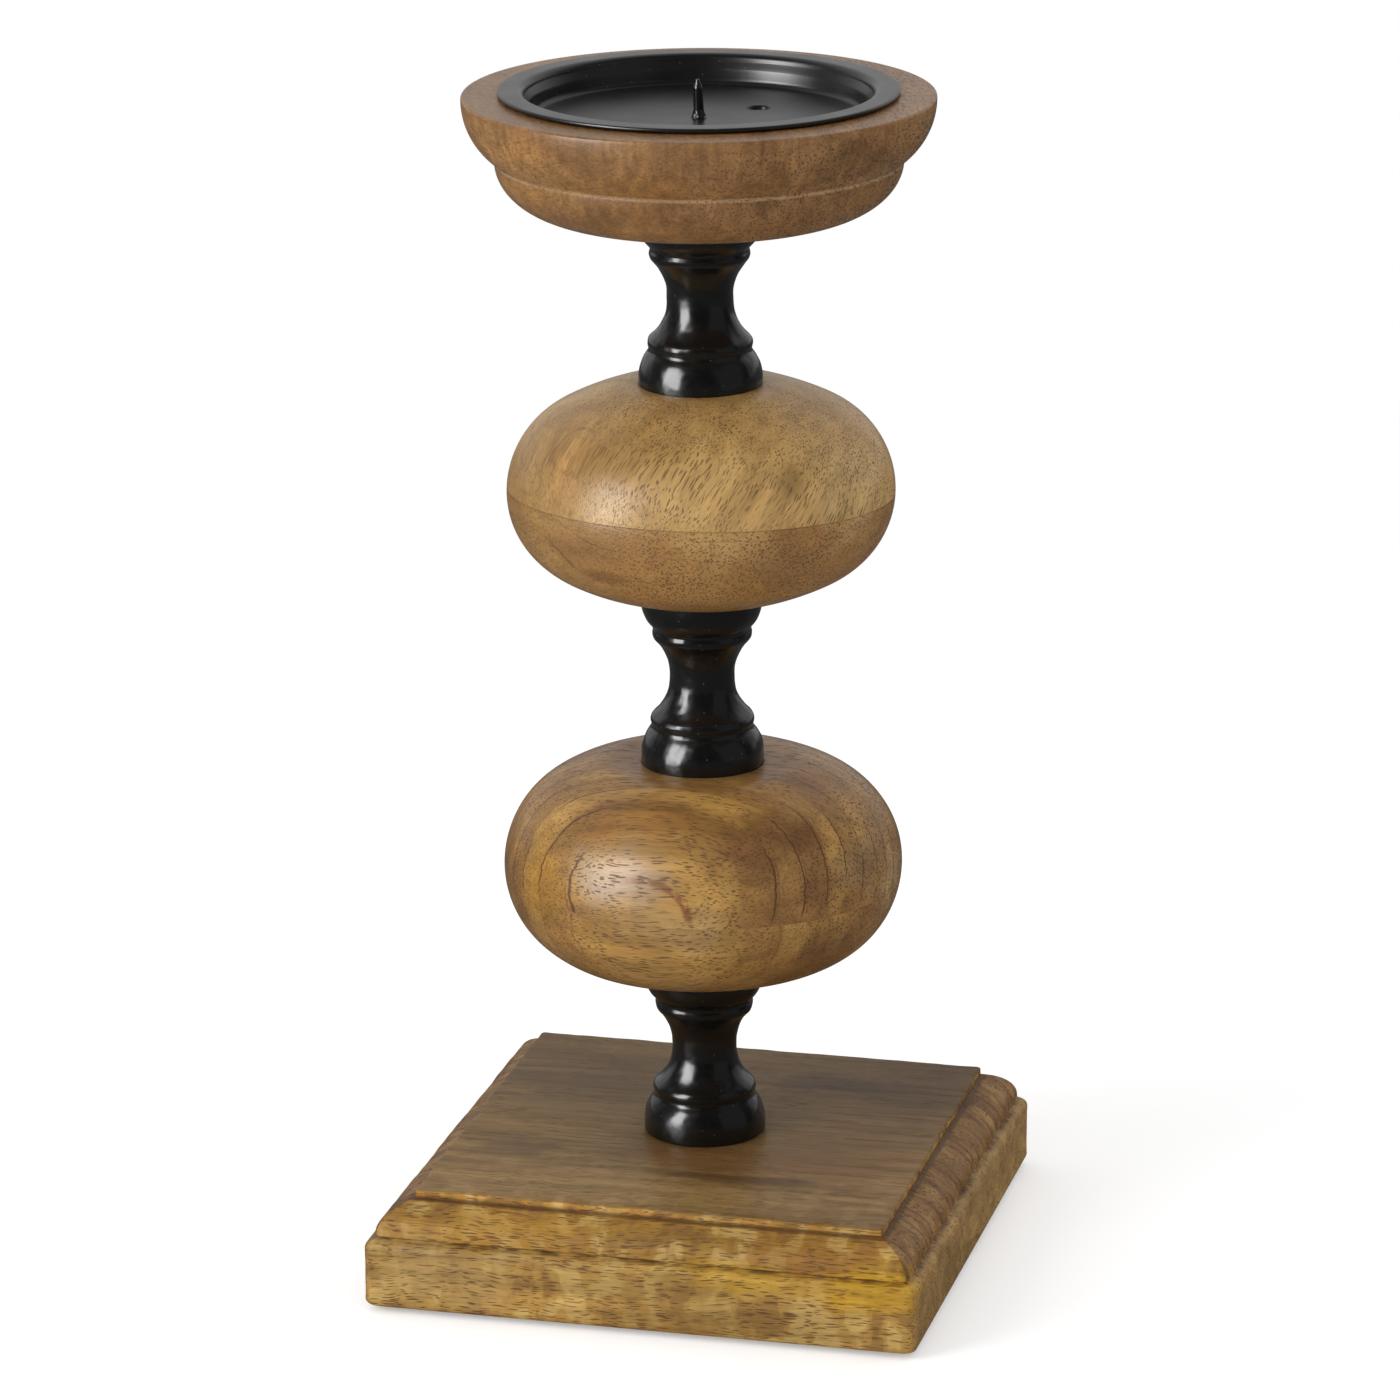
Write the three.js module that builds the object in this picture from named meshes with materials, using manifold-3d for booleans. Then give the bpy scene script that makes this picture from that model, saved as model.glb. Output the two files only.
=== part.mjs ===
// Candle holder: a pillar candle stand of turned mango wood and black enamelled spools.
// One threaded rod clamps the stack from the square base up to the cup, and a pressed steel pan
// with a nail spike is screwed down on the cup.
// Millimetres, +Z up. The origin is the middle of the surface that the holder stands on.

import * as THREE from "three";
import { mergeVertices } from "three/addons/utils/BufferGeometryUtils.js";
import Module from "manifold-3d";

const wasm = await Module();
wasm.setup();

// Clearances
const SEAT_GAP = 0.05; // between two faces that are clamped together
const FIT_GAP = 0.3; // round a piece that goes into a hole or a recess
const ROD_GAP = 0.5; // round the rod, in the bores of the wooden pieces and the spools
const CUT_PAST = 1; // how far a cutting cylinder runs past the face that it opens
const MERGE_DISTANCE = 1e-4;

// Felt pads under the base
const PAD_RADIUS = 8;
const PAD_THICKNESS = 1.5;
const PAD_INSET = 17; // from the base's side to the middle of a pad

// Square base: a field on top, then a step, an ovolo, a quirk, a straight side and a rounded arris
const BASE_WIDTH = 171;
const BASE_HEIGHT = 34.4;
const FIELD_WIDTH = 144.9;
const FIELD_STEP = 2.5;
const FIELD_EDGE_ROUND = 0.5;
const SIDE_HEIGHT = 21.3;
const SIDE_TOP_ROUND = 2.8; // the side's upper arris, under the quirk
const QUIRK_DEPTH = 0.6; // behind the ovolo's foot
const QUIRK_HEIGHT = 1;
const OVOLO_FULLNESS = 0.72; // share of a quarter ellipse that the ovolo runs through
const BASE_ARRIS = 2.4;
const SIDE_CORNER_ROUND = 3;
const FIELD_CORNER_ROUND = 1;

// Spool: a bell, a groove, a bead and a cove at each end of a straight waist, a little slimmer on top
const SPOOL_LENGTH = 55.2;
const SPOOL_WAIST_RADIUS = 10;
const FOOT_END = { bell: 18.95, groove: 15.1, bead: 16.1 };
const TOP_END = { bell: 18.3, groove: 14.5, bead: 15.3 };
const BELL_BULGE = 6; // how far the bell's ellipse reaches out from its centre
const BELL_CENTRE_HEIGHT = 4.6;
const BELL_HALF_HEIGHT = 8.6;
const BELL_TOP_HEIGHT = 11.2;
const GROOVE_HEIGHT = 11.9;
const BEAD_FOOT_HEIGHT = 12.1;
const BEAD_BULGE = 2.8;
const BEAD_HALF_HEIGHT = 2.7;
const BEAD_CENTRE_HEIGHT = 14;
const BEAD_TOP_HEIGHT = 16.5;
const COVE_TOP_HEIGHT = 25;

// Turned balls: an equator arc and a flatter crown arc towards each pole.
// Each pole has a flat spot, as wide as a margin round the spool's seat, and a recess for the spool.
const LOWER_BALL = {
  radius: 60.95,
  equatorArc: 30.4,
  poleHeight: 36.1,
  marginBelow: 1.4,
  marginAbove: 7.75,
  recessBelow: 1.9,
  recessAbove: 0.5,
};
const UPPER_BALL = {
  radius: 58.7,
  equatorArc: 27.9,
  poleHeight: 35.45,
  marginBelow: 1.4,
  marginAbove: 0.75,
  recessBelow: 1.3,
  recessAbove: 1.5,
};
const BALL_FLAT_BLEND = 24; // radius of the arc between the crown and the flat spot

// Cup: an upper band, a step, and a lower band that curves in to the underside
const CUP_RADIUS = 70.6;
const CUP_HEIGHT = 36.2;
const CUP_RIM_ROUND = 0.8;
const CUP_BAND_HEIGHT = 18.4; // from the rim down to the step
const CUP_BAND_STRAIGHT = 1; // from the rim down to where the band starts to curve in
const CUP_BAND_ARC = 21.8; // radius of the band's curve
const CUP_STEP_WIDTH = 1;
const CUP_STEP_HEIGHT = 1;
const CUP_UNDERSIDE_RADIUS = 38;
const CUP_RECESS_DEEP = 2; // the spool's seat in the underside

// Candle pan of sheet steel
const PAN_SHEET = 1.2;
const PAN_FLANGE_RADIUS = 59.8;
const PAN_MOUTH_RADIUS = 51.8;
const PAN_FLOOR_RADIUS = 50; // of the inner wall, above the floor's bend
const PAN_DEPTH = 8.9; // from the flange's top down to the floor's top
const PAN_MOUTH_BEND = 2.2;
const PAN_FLOOR_BEND = 2.6;
const PAN_LEDGE_REACH = 0.75; // how far the wall has stepped out at its ledge, halfway up
const PAN_LEDGE_FOOT_REACH = 0.25;
const PAN_LEDGE_HEIGHT = 0.5;
const FLANGE_GAP = 0.5; // the flange stands this far above the wooden rim

// Nail spike, welded on the pan's floor
const SPIKE_RADIUS = 1.55;
const SPIKE_NECK_RADIUS = 1.35; // where the cut tip starts
const SPIKE_HEIGHT = 11.5;
const SPIKE_TIP_HEIGHT = 2.6;
const SPIKE_TIP_RADIUS = 0.55;
const WELD_RADIUS = 2.3;
const WELD_HEIGHT = 2.8;

// Screw that holds the pan on the cup, with its head sunk in a dimple of the pan's floor
const DIMPLE_DEPTH = 1.6;
const SCREW_HEAD_RADIUS = 2.6;
const SCREW_HEAD_HEIGHT = 0.7;
const SCREW_SHANK_RADIUS = 1.5;
const SCREW_LENGTH = 10; // under the head
const SCREW_POINT = 3;
const SCREW_PLACE_RADIUS = 22.6;
const SCREW_PLACE_ANGLE = 52; // degrees from +X towards +Y

// Tie rod with its washers and nuts
const ROD_RADIUS = 4;
const ROD_OVERRUN = 2; // past each nut
const ROD_CHAMFER = 0.8;
const HEX_SIDES = 6;
const NUT_FLATS = 13;
const NUT_HEIGHT = 6.5;
const WASHER_RADIUS = 12;
const WASHER_THICKNESS = 2;
const POCKET_ROOM = 3; // round a washer, in the base's counterbore and in the pocket under the pan
const POCKET_SPARE = 1.4; // from the rod's end to the mouth of the counterbore or pocket

// Facets round each turned piece, and steps along each curve of an outline
const BALL_SIDES = 36;
const CUP_SIDES = 40;
const SPOOL_SIDES = 24;
const SMALL_SIDES = 16;
const LONG_CURVE_STEPS = 6;
const CURVE_STEPS = 4;
const BEND_STEPS = 3;
const ROUND_STEPS = 2;

// Heights of the stack, worked out from the sizes above
const boreRadius = ROD_RADIUS + ROD_GAP;
const footSeatRadius = FOOT_END.bell + FIT_GAP;
const topSeatRadius = TOP_END.bell + FIT_GAP;
const pocketRadius = WASHER_RADIUS + POCKET_ROOM;
const pocketDepth = WASHER_THICKNESS + NUT_HEIGHT + ROD_OVERRUN + 2 * SEAT_GAP + POCKET_SPARE;

// The crown arc of a ball's section: tangent to the equator arc, with its centre on the axis.
function crownArc({ radius, equatorArc, poleHeight }) {
  const reach = radius - equatorArc;
  const crownRadius = (reach ** 2 + poleHeight ** 2 - equatorArc ** 2) / (2 * (poleHeight - equatorArc));
  return { crownRadius, crownCentre: poleHeight - crownRadius };
}

// Height above the equator of a flat spot of the given radius, blended into the crown.
function flatHeight(shape, flatRadius) {
  const { crownRadius, crownCentre } = crownArc(shape);
  const toBlend = crownRadius - BALL_FLAT_BLEND;
  return crownCentre + BALL_FLAT_BLEND + Math.sqrt(toBlend ** 2 - flatRadius ** 2);
}

const flatRadiusBelow = (shape) => topSeatRadius + shape.marginBelow;
const flatRadiusAbove = (shape) => footSeatRadius + shape.marginAbove;
const equatorHeight = (shape) => flatHeight(shape, flatRadiusBelow(shape));
const ballHeight = (shape) => equatorHeight(shape) + flatHeight(shape, flatRadiusAbove(shape));
const baseBottom = PAD_THICKNESS + SEAT_GAP;
const lowerSpoolFoot = baseBottom + BASE_HEIGHT + SEAT_GAP;
const lowerBallFoot = lowerSpoolFoot + SPOOL_LENGTH + SEAT_GAP - LOWER_BALL.recessBelow;
const middleSpoolFoot = lowerBallFoot + ballHeight(LOWER_BALL) - LOWER_BALL.recessAbove + SEAT_GAP;
const upperBallFoot = middleSpoolFoot + SPOOL_LENGTH + SEAT_GAP - UPPER_BALL.recessBelow;
const upperSpoolFoot = upperBallFoot + ballHeight(UPPER_BALL) - UPPER_BALL.recessAbove + SEAT_GAP;
const cupFoot = upperSpoolFoot + SPOOL_LENGTH + SEAT_GAP - CUP_RECESS_DEEP;
const cupRim = cupFoot + CUP_HEIGHT;
const panFloorTop = cupRim + FLANGE_GAP + PAN_SHEET - PAN_DEPTH;
const panFloorUnder = panFloorTop - PAN_SHEET;
const cupFloor = panFloorUnder - SEAT_GAP;
const dimpleRadius = SCREW_HEAD_RADIUS + FIT_GAP;
const screwHoleRadius = SCREW_SHANK_RADIUS + FIT_GAP;
const cupPocketFloor = cupFloor - pocketDepth;
const baseWasherTop = baseBottom + pocketDepth - SEAT_GAP;
const baseNutTop = baseWasherTop - WASHER_THICKNESS - SEAT_GAP;
const cupWasherFoot = cupPocketFloor + SEAT_GAP;
const cupNutFoot = cupWasherFoot + WASHER_THICKNESS + SEAT_GAP;
const rodBottom = baseNutTop - NUT_HEIGHT - ROD_OVERRUN;
const rodTop = cupNutFoot + NUT_HEIGHT + ROD_OVERRUN;

function finish(color, roughness, metalness = 0) {
  return new THREE.MeshStandardMaterial({ color, roughness, metalness });
}

const enamel = finish(0x151515, 0.3);
const panPaint = finish(0x2b2a29, 0.45);
const zinc = finish(0xa9abae, 0.35, 1);
const felt = finish(0x2e2b28, 1);
const baseWood = finish(0x8a6a42, 0.55);
const lowerBallWood = finish(0x8f6c43, 0.5);
const upperBallWood = finish(0xa98353, 0.5);
const cupWood = finish(0x8e6b45, 0.55);

const point = (x, y) => new THREE.Vector2(x, y);
const quarterTurn = Math.PI / 2;

const screwAngle = THREE.MathUtils.degToRad(SCREW_PLACE_ANGLE);
const screwPlace = point(Math.cos(screwAngle), Math.sin(screwAngle)).multiplyScalar(SCREW_PLACE_RADIUS);

// Points on an ellipse's arc in the profile plane, x outwards and y up, from one angle to another.
function ellipseArc(centreX, centreY, reachX, reachY, fromAngle, toAngle, steps) {
  return Array.from({ length: steps + 1 }, (_, i) => {
    const angle = fromAngle + ((toAngle - fromAngle) * i) / steps;
    return point(centreX + reachX * Math.cos(angle), centreY + reachY * Math.sin(angle));
  });
}

function arc(centreX, centreY, radius, fromAngle, toAngle, steps) {
  return ellipseArc(centreX, centreY, radius, radius, fromAngle, toAngle, steps);
}

// A turned solid about +Z from its profile.
// A profile that doesn't touch the axis at both ends is closed on itself, which leaves a bore.
function turned(profile, sides) {
  const last = profile[profile.length - 1];
  const touchesAxis = profile[0].x === 0 && last.x === 0;
  const closed = touchesAxis ? profile : [...profile, profile[0]];
  return new THREE.LatheGeometry(closed, sides).rotateX(quarterTurn);
}

function mirroredInHeight(profile, height) {
  return profile.map((p) => point(p.x, height - p.y)).reverse();
}

// A three.js geometry as a manifold-3d solid, and back.
function toSolid(geometry) {
  const bare = geometry.clone();
  bare.deleteAttribute("normal");
  bare.deleteAttribute("uv");
  const merged = mergeVertices(bare, MERGE_DISTANCE);
  const mesh = new wasm.Mesh({
    numProp: 3,
    vertProperties: new Float32Array(merged.attributes.position.array),
    triVerts: new Uint32Array(merged.index.array),
  });
  return new wasm.Manifold(mesh);
}

function toGeometry(solid) {
  const mesh = solid.getMesh();
  const geometry = new THREE.BufferGeometry();
  geometry.setAttribute("position", new THREE.BufferAttribute(mesh.vertProperties, 3));
  geometry.setIndex(new THREE.BufferAttribute(mesh.triVerts, 1));
  geometry.computeVertexNormals();
  return geometry;
}

function cut(geometry, ...tools) {
  return toGeometry(tools.reduce((solid, tool) => solid.subtract(toSolid(tool)), toSolid(geometry)));
}

function join(geometry, added) {
  return toGeometry(toSolid(geometry).add(toSolid(added)));
}

function cylinder(radius, bottom, top, sides) {
  const height = top - bottom;
  const geometry = new THREE.CylinderGeometry(radius, radius, height, sides);
  return geometry.rotateX(quarterTurn).translate(0, 0, bottom + height / 2);
}

// One ring of a rounded square: half width, corner radius and height above the base's underside.
function squareRing({ half, corner, height }, cornerSteps) {
  const centre = half - corner;
  const ring = [];
  for (let quarter = 0; quarter < 4; quarter++) {
    for (let step = 0; step <= cornerSteps; step++) {
      const angle = quarterTurn * (quarter + step / cornerSteps);
      const side = quarterTurn * (quarter + 0.5);
      const middleX = centre * Math.SQRT2 * Math.cos(side);
      const middleY = centre * Math.SQRT2 * Math.sin(side);
      ring.push([middleX + corner * Math.cos(angle), middleY + corner * Math.sin(angle), height]);
    }
  }
  return ring;
}

// A square moulding: rounded squares laid on each other, closed by a fan at the bottom and the top.
function squareMoulding(rings, cornerSteps) {
  const loops = rings.map((ring) => squareRing(ring, cornerSteps));
  const count = loops[0].length;
  const vertices = [...loops.flat(), [0, 0, rings[0].height], [0, 0, rings[rings.length - 1].height]];
  const bottomCentre = vertices.length - 2;
  const topCentre = vertices.length - 1;
  const topLoop = (loops.length - 1) * count;
  const triangles = [];
  for (let i = 0; i < count; i++) {
    const next = (i + 1) % count;
    triangles.push(bottomCentre, next, i);
    triangles.push(topCentre, topLoop + i, topLoop + next);
    for (let loop = 0; loop < loops.length - 1; loop++) {
      const low = loop * count;
      const high = low + count;
      triangles.push(low + i, low + next, high + next);
      triangles.push(low + i, high + next, high + i);
    }
  }
  const geometry = new THREE.BufferGeometry();
  geometry.setAttribute("position", new THREE.Float32BufferAttribute(vertices.flat(), 3));
  geometry.setIndex(triangles);
  return geometry;
}

// The base's moulding from the underside up to the field, as half widths, corner radii and heights.
function baseRings() {
  const half = BASE_WIDTH / 2;
  const fieldHalf = FIELD_WIDTH / 2;
  const ovoloFoot = SIDE_HEIGHT + QUIRK_HEIGHT;
  const ovoloTop = BASE_HEIGHT - FIELD_STEP;
  const ovoloOuter = half - SIDE_TOP_ROUND;
  const ovoloTo = quarterTurn * OVOLO_FULLNESS;
  const ovoloReach = (ovoloOuter - fieldHalf) / (1 - Math.cos(ovoloTo));
  const ovoloRise = (ovoloTop - ovoloFoot) / Math.sin(ovoloTo);
  const ovoloCentre = ovoloOuter - ovoloReach;
  const ovolo = ellipseArc(ovoloCentre, ovoloFoot, ovoloReach, ovoloRise, 0, ovoloTo, LONG_CURVE_STEPS);
  const { lerp } = THREE.MathUtils;
  const ovoloCorner = (i) => lerp(SIDE_CORNER_ROUND, FIELD_CORNER_ROUND, i / LONG_CURVE_STEPS);
  const arris = arc(half - BASE_ARRIS, BASE_ARRIS, BASE_ARRIS, -quarterTurn, 0, BEND_STEPS);
  const shoulderCentre = SIDE_HEIGHT - SIDE_TOP_ROUND;
  const shoulder = arc(ovoloOuter, shoulderCentre, SIDE_TOP_ROUND, 0, quarterTurn, BEND_STEPS);
  const edgeCentre = point(fieldHalf - FIELD_EDGE_ROUND, BASE_HEIGHT - FIELD_EDGE_ROUND);
  const edge = arc(edgeCentre.x, edgeCentre.y, FIELD_EDGE_ROUND, 0, quarterTurn, ROUND_STEPS);
  const outline = [
    ...arris.map((p) => [p, SIDE_CORNER_ROUND]),
    ...shoulder.map((p) => [p, SIDE_CORNER_ROUND]),
    [point(ovoloOuter - QUIRK_DEPTH, SIDE_HEIGHT + QUIRK_HEIGHT / 2), SIDE_CORNER_ROUND],
    ...ovolo.map((p, i) => [p, ovoloCorner(i)]),
    ...edge.map((p) => [p, FIELD_CORNER_ROUND]),
  ];
  return outline.map(([p, corner]) => ({ half: p.x, corner, height: p.y }));
}

function baseBlock() {
  const bore = cylinder(boreRadius, -CUT_PAST, BASE_HEIGHT + CUT_PAST, SMALL_SIDES);
  const counterbore = cylinder(pocketRadius, -CUT_PAST, pocketDepth, SPOOL_SIDES);
  return cut(squareMoulding(baseRings(), CURVE_STEPS), bore, counterbore);
}

// Half of a spool's outline, from its end to the waist.
function spoolHalfOutline({ bell, groove, bead }) {
  const bellCentre = bell - BELL_BULGE;
  const bellFrom = Math.asin(-BELL_CENTRE_HEIGHT / BELL_HALF_HEIGHT);
  const bellTo = Math.asin((BELL_TOP_HEIGHT - BELL_CENTRE_HEIGHT) / BELL_HALF_HEIGHT);
  const bellArc = [BELL_BULGE, BELL_HALF_HEIGHT, bellFrom, bellTo, CURVE_STEPS];
  const beadCentre = bead - BEAD_BULGE;
  const beadFrom = Math.asin((BEAD_FOOT_HEIGHT - BEAD_CENTRE_HEIGHT) / BEAD_HALF_HEIGHT);
  const beadTo = Math.asin((BEAD_TOP_HEIGHT - BEAD_CENTRE_HEIGHT) / BEAD_HALF_HEIGHT);
  const beadArc = [BEAD_BULGE, BEAD_HALF_HEIGHT, beadFrom, beadTo, BEND_STEPS];
  const beadOutline = ellipseArc(beadCentre, BEAD_CENTRE_HEIGHT, ...beadArc);
  const beadEnd = beadOutline[beadOutline.length - 1];
  // The cove is a round arc that meets the waist upright and starts at the bead's end.
  const coveRise = COVE_TOP_HEIGHT - beadEnd.y;
  const coveReach = beadEnd.x - SPOOL_WAIST_RADIUS;
  const coveRadius = (coveRise ** 2 + coveReach ** 2) / (2 * coveReach);
  const coveFrom = Math.PI + Math.asin(coveRise / coveRadius);
  const coveCentre = SPOOL_WAIST_RADIUS + coveRadius;
  const cove = arc(coveCentre, COVE_TOP_HEIGHT, coveRadius, coveFrom, Math.PI, CURVE_STEPS);
  return [
    ...ellipseArc(bellCentre, BELL_CENTRE_HEIGHT, ...bellArc),
    point(groove, GROOVE_HEIGHT),
    ...beadOutline,
    ...cove.slice(1),
  ];
}

function spool() {
  const outline = [
    ...spoolHalfOutline(FOOT_END),
    ...mirroredInHeight(spoolHalfOutline(TOP_END), SPOOL_LENGTH),
  ];
  return turned([point(boreRadius, 0), ...outline, point(boreRadius, SPOOL_LENGTH)], SPOOL_SIDES);
}

// A ball's outline from its equator up to a flat spot, with the equator at height 0.
function ballHalfOutline(shape, flatRadius) {
  const { crownRadius, crownCentre } = crownArc(shape);
  const reach = shape.radius - shape.equatorArc;
  const join = Math.atan2(-crownCentre, reach);
  const blendCentre = flatHeight(shape, flatRadius) - BALL_FLAT_BLEND;
  const blendFrom = Math.atan2(blendCentre - crownCentre, flatRadius);
  return [
    ...arc(reach, 0, shape.equatorArc, 0, join, CURVE_STEPS),
    ...arc(0, crownCentre, crownRadius, join, blendFrom, CURVE_STEPS).slice(1),
    ...arc(flatRadius, blendCentre, BALL_FLAT_BLEND, blendFrom, quarterTurn, ROUND_STEPS).slice(1),
  ];
}

// A ball stands on its lower flat spot, and each flat spot has a recess for a spool's end.
function ball(shape) {
  const height = ballHeight(shape);
  const equator = equatorHeight(shape);
  const upper = ballHalfOutline(shape, flatRadiusAbove(shape)).map((p) => point(p.x, equator + p.y));
  const lower = ballHalfOutline(shape, flatRadiusBelow(shape)).map((p) => point(p.x, equator - p.y));
  const profile = [
    point(boreRadius, shape.recessBelow),
    point(topSeatRadius, shape.recessBelow),
    point(topSeatRadius, 0),
    ...lower.reverse(),
    ...upper.slice(1),
    point(footSeatRadius, height),
    point(footSeatRadius, height - shape.recessAbove),
    point(boreRadius, height - shape.recessAbove),
  ];
  return turned(profile, BALL_SIDES);
}

// The cup's outline from the underside up to the rim, with the recess for the pan and the nut's pocket.
function cup() {
  const recessRadius = PAN_MOUTH_RADIUS + PAN_SHEET + FIT_GAP;
  const floor = cupFloor - cupFoot;
  const pocketFloor = cupPocketFloor - cupFoot;
  const stepHeight = CUP_HEIGHT - CUP_BAND_HEIGHT;
  const bandTop = CUP_HEIGHT - CUP_BAND_STRAIGHT;
  const bandFrom = -Math.asin((bandTop - stepHeight) / CUP_BAND_ARC);
  const band = arc(CUP_RADIUS - CUP_BAND_ARC, bandTop, CUP_BAND_ARC, bandFrom, 0, LONG_CURVE_STEPS);
  const lipRadius = band[0].x - CUP_STEP_WIDTH;
  const lipHeight = stepHeight - CUP_STEP_HEIGHT;
  const bowlReach = lipRadius - CUP_UNDERSIDE_RADIUS;
  const bowlArc = [bowlReach, lipHeight, -quarterTurn, 0, LONG_CURVE_STEPS];
  const bowl = ellipseArc(CUP_UNDERSIDE_RADIUS, lipHeight, ...bowlArc);
  const rimCentre = point(CUP_RADIUS - CUP_RIM_ROUND, CUP_HEIGHT - CUP_RIM_ROUND);
  const rim = arc(rimCentre.x, rimCentre.y, CUP_RIM_ROUND, 0, quarterTurn, ROUND_STEPS);
  const body = turned(
    [
      point(boreRadius, CUP_RECESS_DEEP),
      point(topSeatRadius, CUP_RECESS_DEEP),
      point(topSeatRadius, 0),
      ...bowl,
      ...band,
      ...rim,
      point(recessRadius, CUP_HEIGHT),
      point(recessRadius, floor),
      point(pocketRadius, floor),
      point(pocketRadius, pocketFloor),
      point(boreRadius, pocketFloor),
    ],
    CUP_SIDES,
  );
  const dimpleFloor = floor - DIMPLE_DEPTH;
  const pilotFoot = dimpleFloor + PAN_SHEET - SCREW_LENGTH;
  const dimpleSeat = cylinder(dimpleRadius + PAN_SHEET + FIT_GAP, dimpleFloor, floor + CUT_PAST, SMALL_SIDES);
  const pilot = cylinder(screwHoleRadius, pilotFoot, dimpleFloor + CUT_PAST, SMALL_SIDES);
  return cut(body, atScrew(dimpleSeat), atScrew(pilot));
}

function atScrew(geometry) {
  return geometry.translate(screwPlace.x, screwPlace.y, 0);
}

// The pan's sheet is drawn as its inner face and its outer face, one sheet thickness apart.
// Heights are above the floor's underside, and offset is 0 on the inner face.
function panFace(offset) {
  const flangeTop = PAN_DEPTH + PAN_SHEET;
  const mouth = PAN_MOUTH_RADIUS + PAN_MOUTH_BEND;
  const mouthBend = PAN_MOUTH_BEND - offset;
  const floorBend = PAN_FLOOR_BEND + offset;
  const floorCentre = PAN_FLOOR_RADIUS - PAN_FLOOR_BEND;
  const ledgeHeight = PAN_SHEET + PAN_DEPTH / 2;
  const wall = PAN_FLOOR_RADIUS + offset;
  return [
    ...arc(floorCentre, PAN_SHEET + PAN_FLOOR_BEND, floorBend, -quarterTurn, 0, BEND_STEPS),
    point(wall + PAN_LEDGE_FOOT_REACH, ledgeHeight - PAN_LEDGE_HEIGHT),
    point(wall + PAN_LEDGE_REACH, ledgeHeight),
    ...arc(mouth, flangeTop - PAN_MOUTH_BEND, mouthBend, Math.PI, quarterTurn, BEND_STEPS),
  ];
}

function candlePan() {
  const lipRadius = PAN_SHEET / 2;
  const lipHeight = PAN_DEPTH + PAN_SHEET - lipRadius;
  const lip = arc(PAN_FLANGE_RADIUS - lipRadius, lipHeight, lipRadius, -quarterTurn, quarterTurn, BEND_STEPS);
  const outer = panFace(PAN_SHEET);
  const inner = panFace(0);
  const sheet = turned([point(0, 0), ...outer, ...lip, ...inner.reverse(), point(0, PAN_SHEET)], CUP_SIDES);
  const dimple = cylinder(dimpleRadius + PAN_SHEET, -DIMPLE_DEPTH, PAN_SHEET / 2, SMALL_SIDES);
  const hollow = cylinder(dimpleRadius, PAN_SHEET - DIMPLE_DEPTH, PAN_SHEET + CUT_PAST, SMALL_SIDES);
  const hole = cylinder(screwHoleRadius, -DIMPLE_DEPTH - CUT_PAST, PAN_SHEET, SMALL_SIDES);
  return cut(join(sheet, atScrew(dimple)), atScrew(hollow), atScrew(hole));
}

// The nail with its cut tip, standing in a bead of weld.
function spike() {
  const weldReach = WELD_RADIUS - SPIKE_RADIUS;
  const profile = [
    point(0, 0),
    ...ellipseArc(SPIKE_RADIUS, 0, weldReach, WELD_HEIGHT, 0, quarterTurn, CURVE_STEPS),
    point(SPIKE_NECK_RADIUS, SPIKE_HEIGHT - SPIKE_TIP_HEIGHT),
    point(SPIKE_TIP_RADIUS, SPIKE_HEIGHT),
    point(0, SPIKE_HEIGHT),
  ];
  return turned(profile, SMALL_SIDES);
}

// A low domed head in the pan's dimple, and a pointed shank down into the cup.
// The head's seat is at height 0.
function panScrew() {
  const dome = ellipseArc(0, 0, SCREW_HEAD_RADIUS, SCREW_HEAD_HEIGHT, 0, quarterTurn, CURVE_STEPS);
  const reach = SCREW_LENGTH - FIT_GAP;
  const profile = [
    point(0, -reach),
    point(SCREW_SHANK_RADIUS, SCREW_POINT - reach),
    point(SCREW_SHANK_RADIUS, 0),
    ...dome.slice(0, -1),
    point(0, SCREW_HEAD_HEIGHT),
  ];
  return turned(profile, SMALL_SIDES);
}

function tieRod() {
  const length = rodTop - rodBottom;
  const profile = [
    point(0, 0),
    point(ROD_RADIUS - ROD_CHAMFER, 0),
    point(ROD_RADIUS, ROD_CHAMFER),
    point(ROD_RADIUS, length - ROD_CHAMFER),
    point(ROD_RADIUS - ROD_CHAMFER, length),
    point(0, length),
  ];
  return turned(profile, SMALL_SIDES);
}

function washer() {
  const hole = ROD_RADIUS + FIT_GAP;
  const profile = [
    point(hole, 0),
    point(WASHER_RADIUS, 0),
    point(WASHER_RADIUS, WASHER_THICKNESS),
    point(hole, WASHER_THICKNESS),
  ];
  return turned(profile, SPOOL_SIDES);
}

function hexNut() {
  const corner = NUT_FLATS / 2 / Math.cos(Math.PI / HEX_SIDES);
  const outline = new THREE.Shape(arc(0, 0, corner, 0, 2 * Math.PI, HEX_SIDES).slice(0, -1));
  const hole = arc(0, 0, ROD_RADIUS + FIT_GAP, 0, -2 * Math.PI, SMALL_SIDES).slice(0, -1);
  outline.holes.push(new THREE.Path(hole));
  return new THREE.ExtrudeGeometry(outline, { depth: NUT_HEIGHT, bevelEnabled: false });
}

function feltPad() {
  return cylinder(PAD_RADIUS, 0, PAD_THICKNESS, SMALL_SIDES);
}

const holder = new THREE.Group();
holder.name = "candle_holder";

function place(name, geometry, material, height, x = 0, y = 0) {
  const mesh = new THREE.Mesh(geometry, material);
  mesh.name = name;
  mesh.position.set(x, y, height);
  holder.add(mesh);
}

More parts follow.
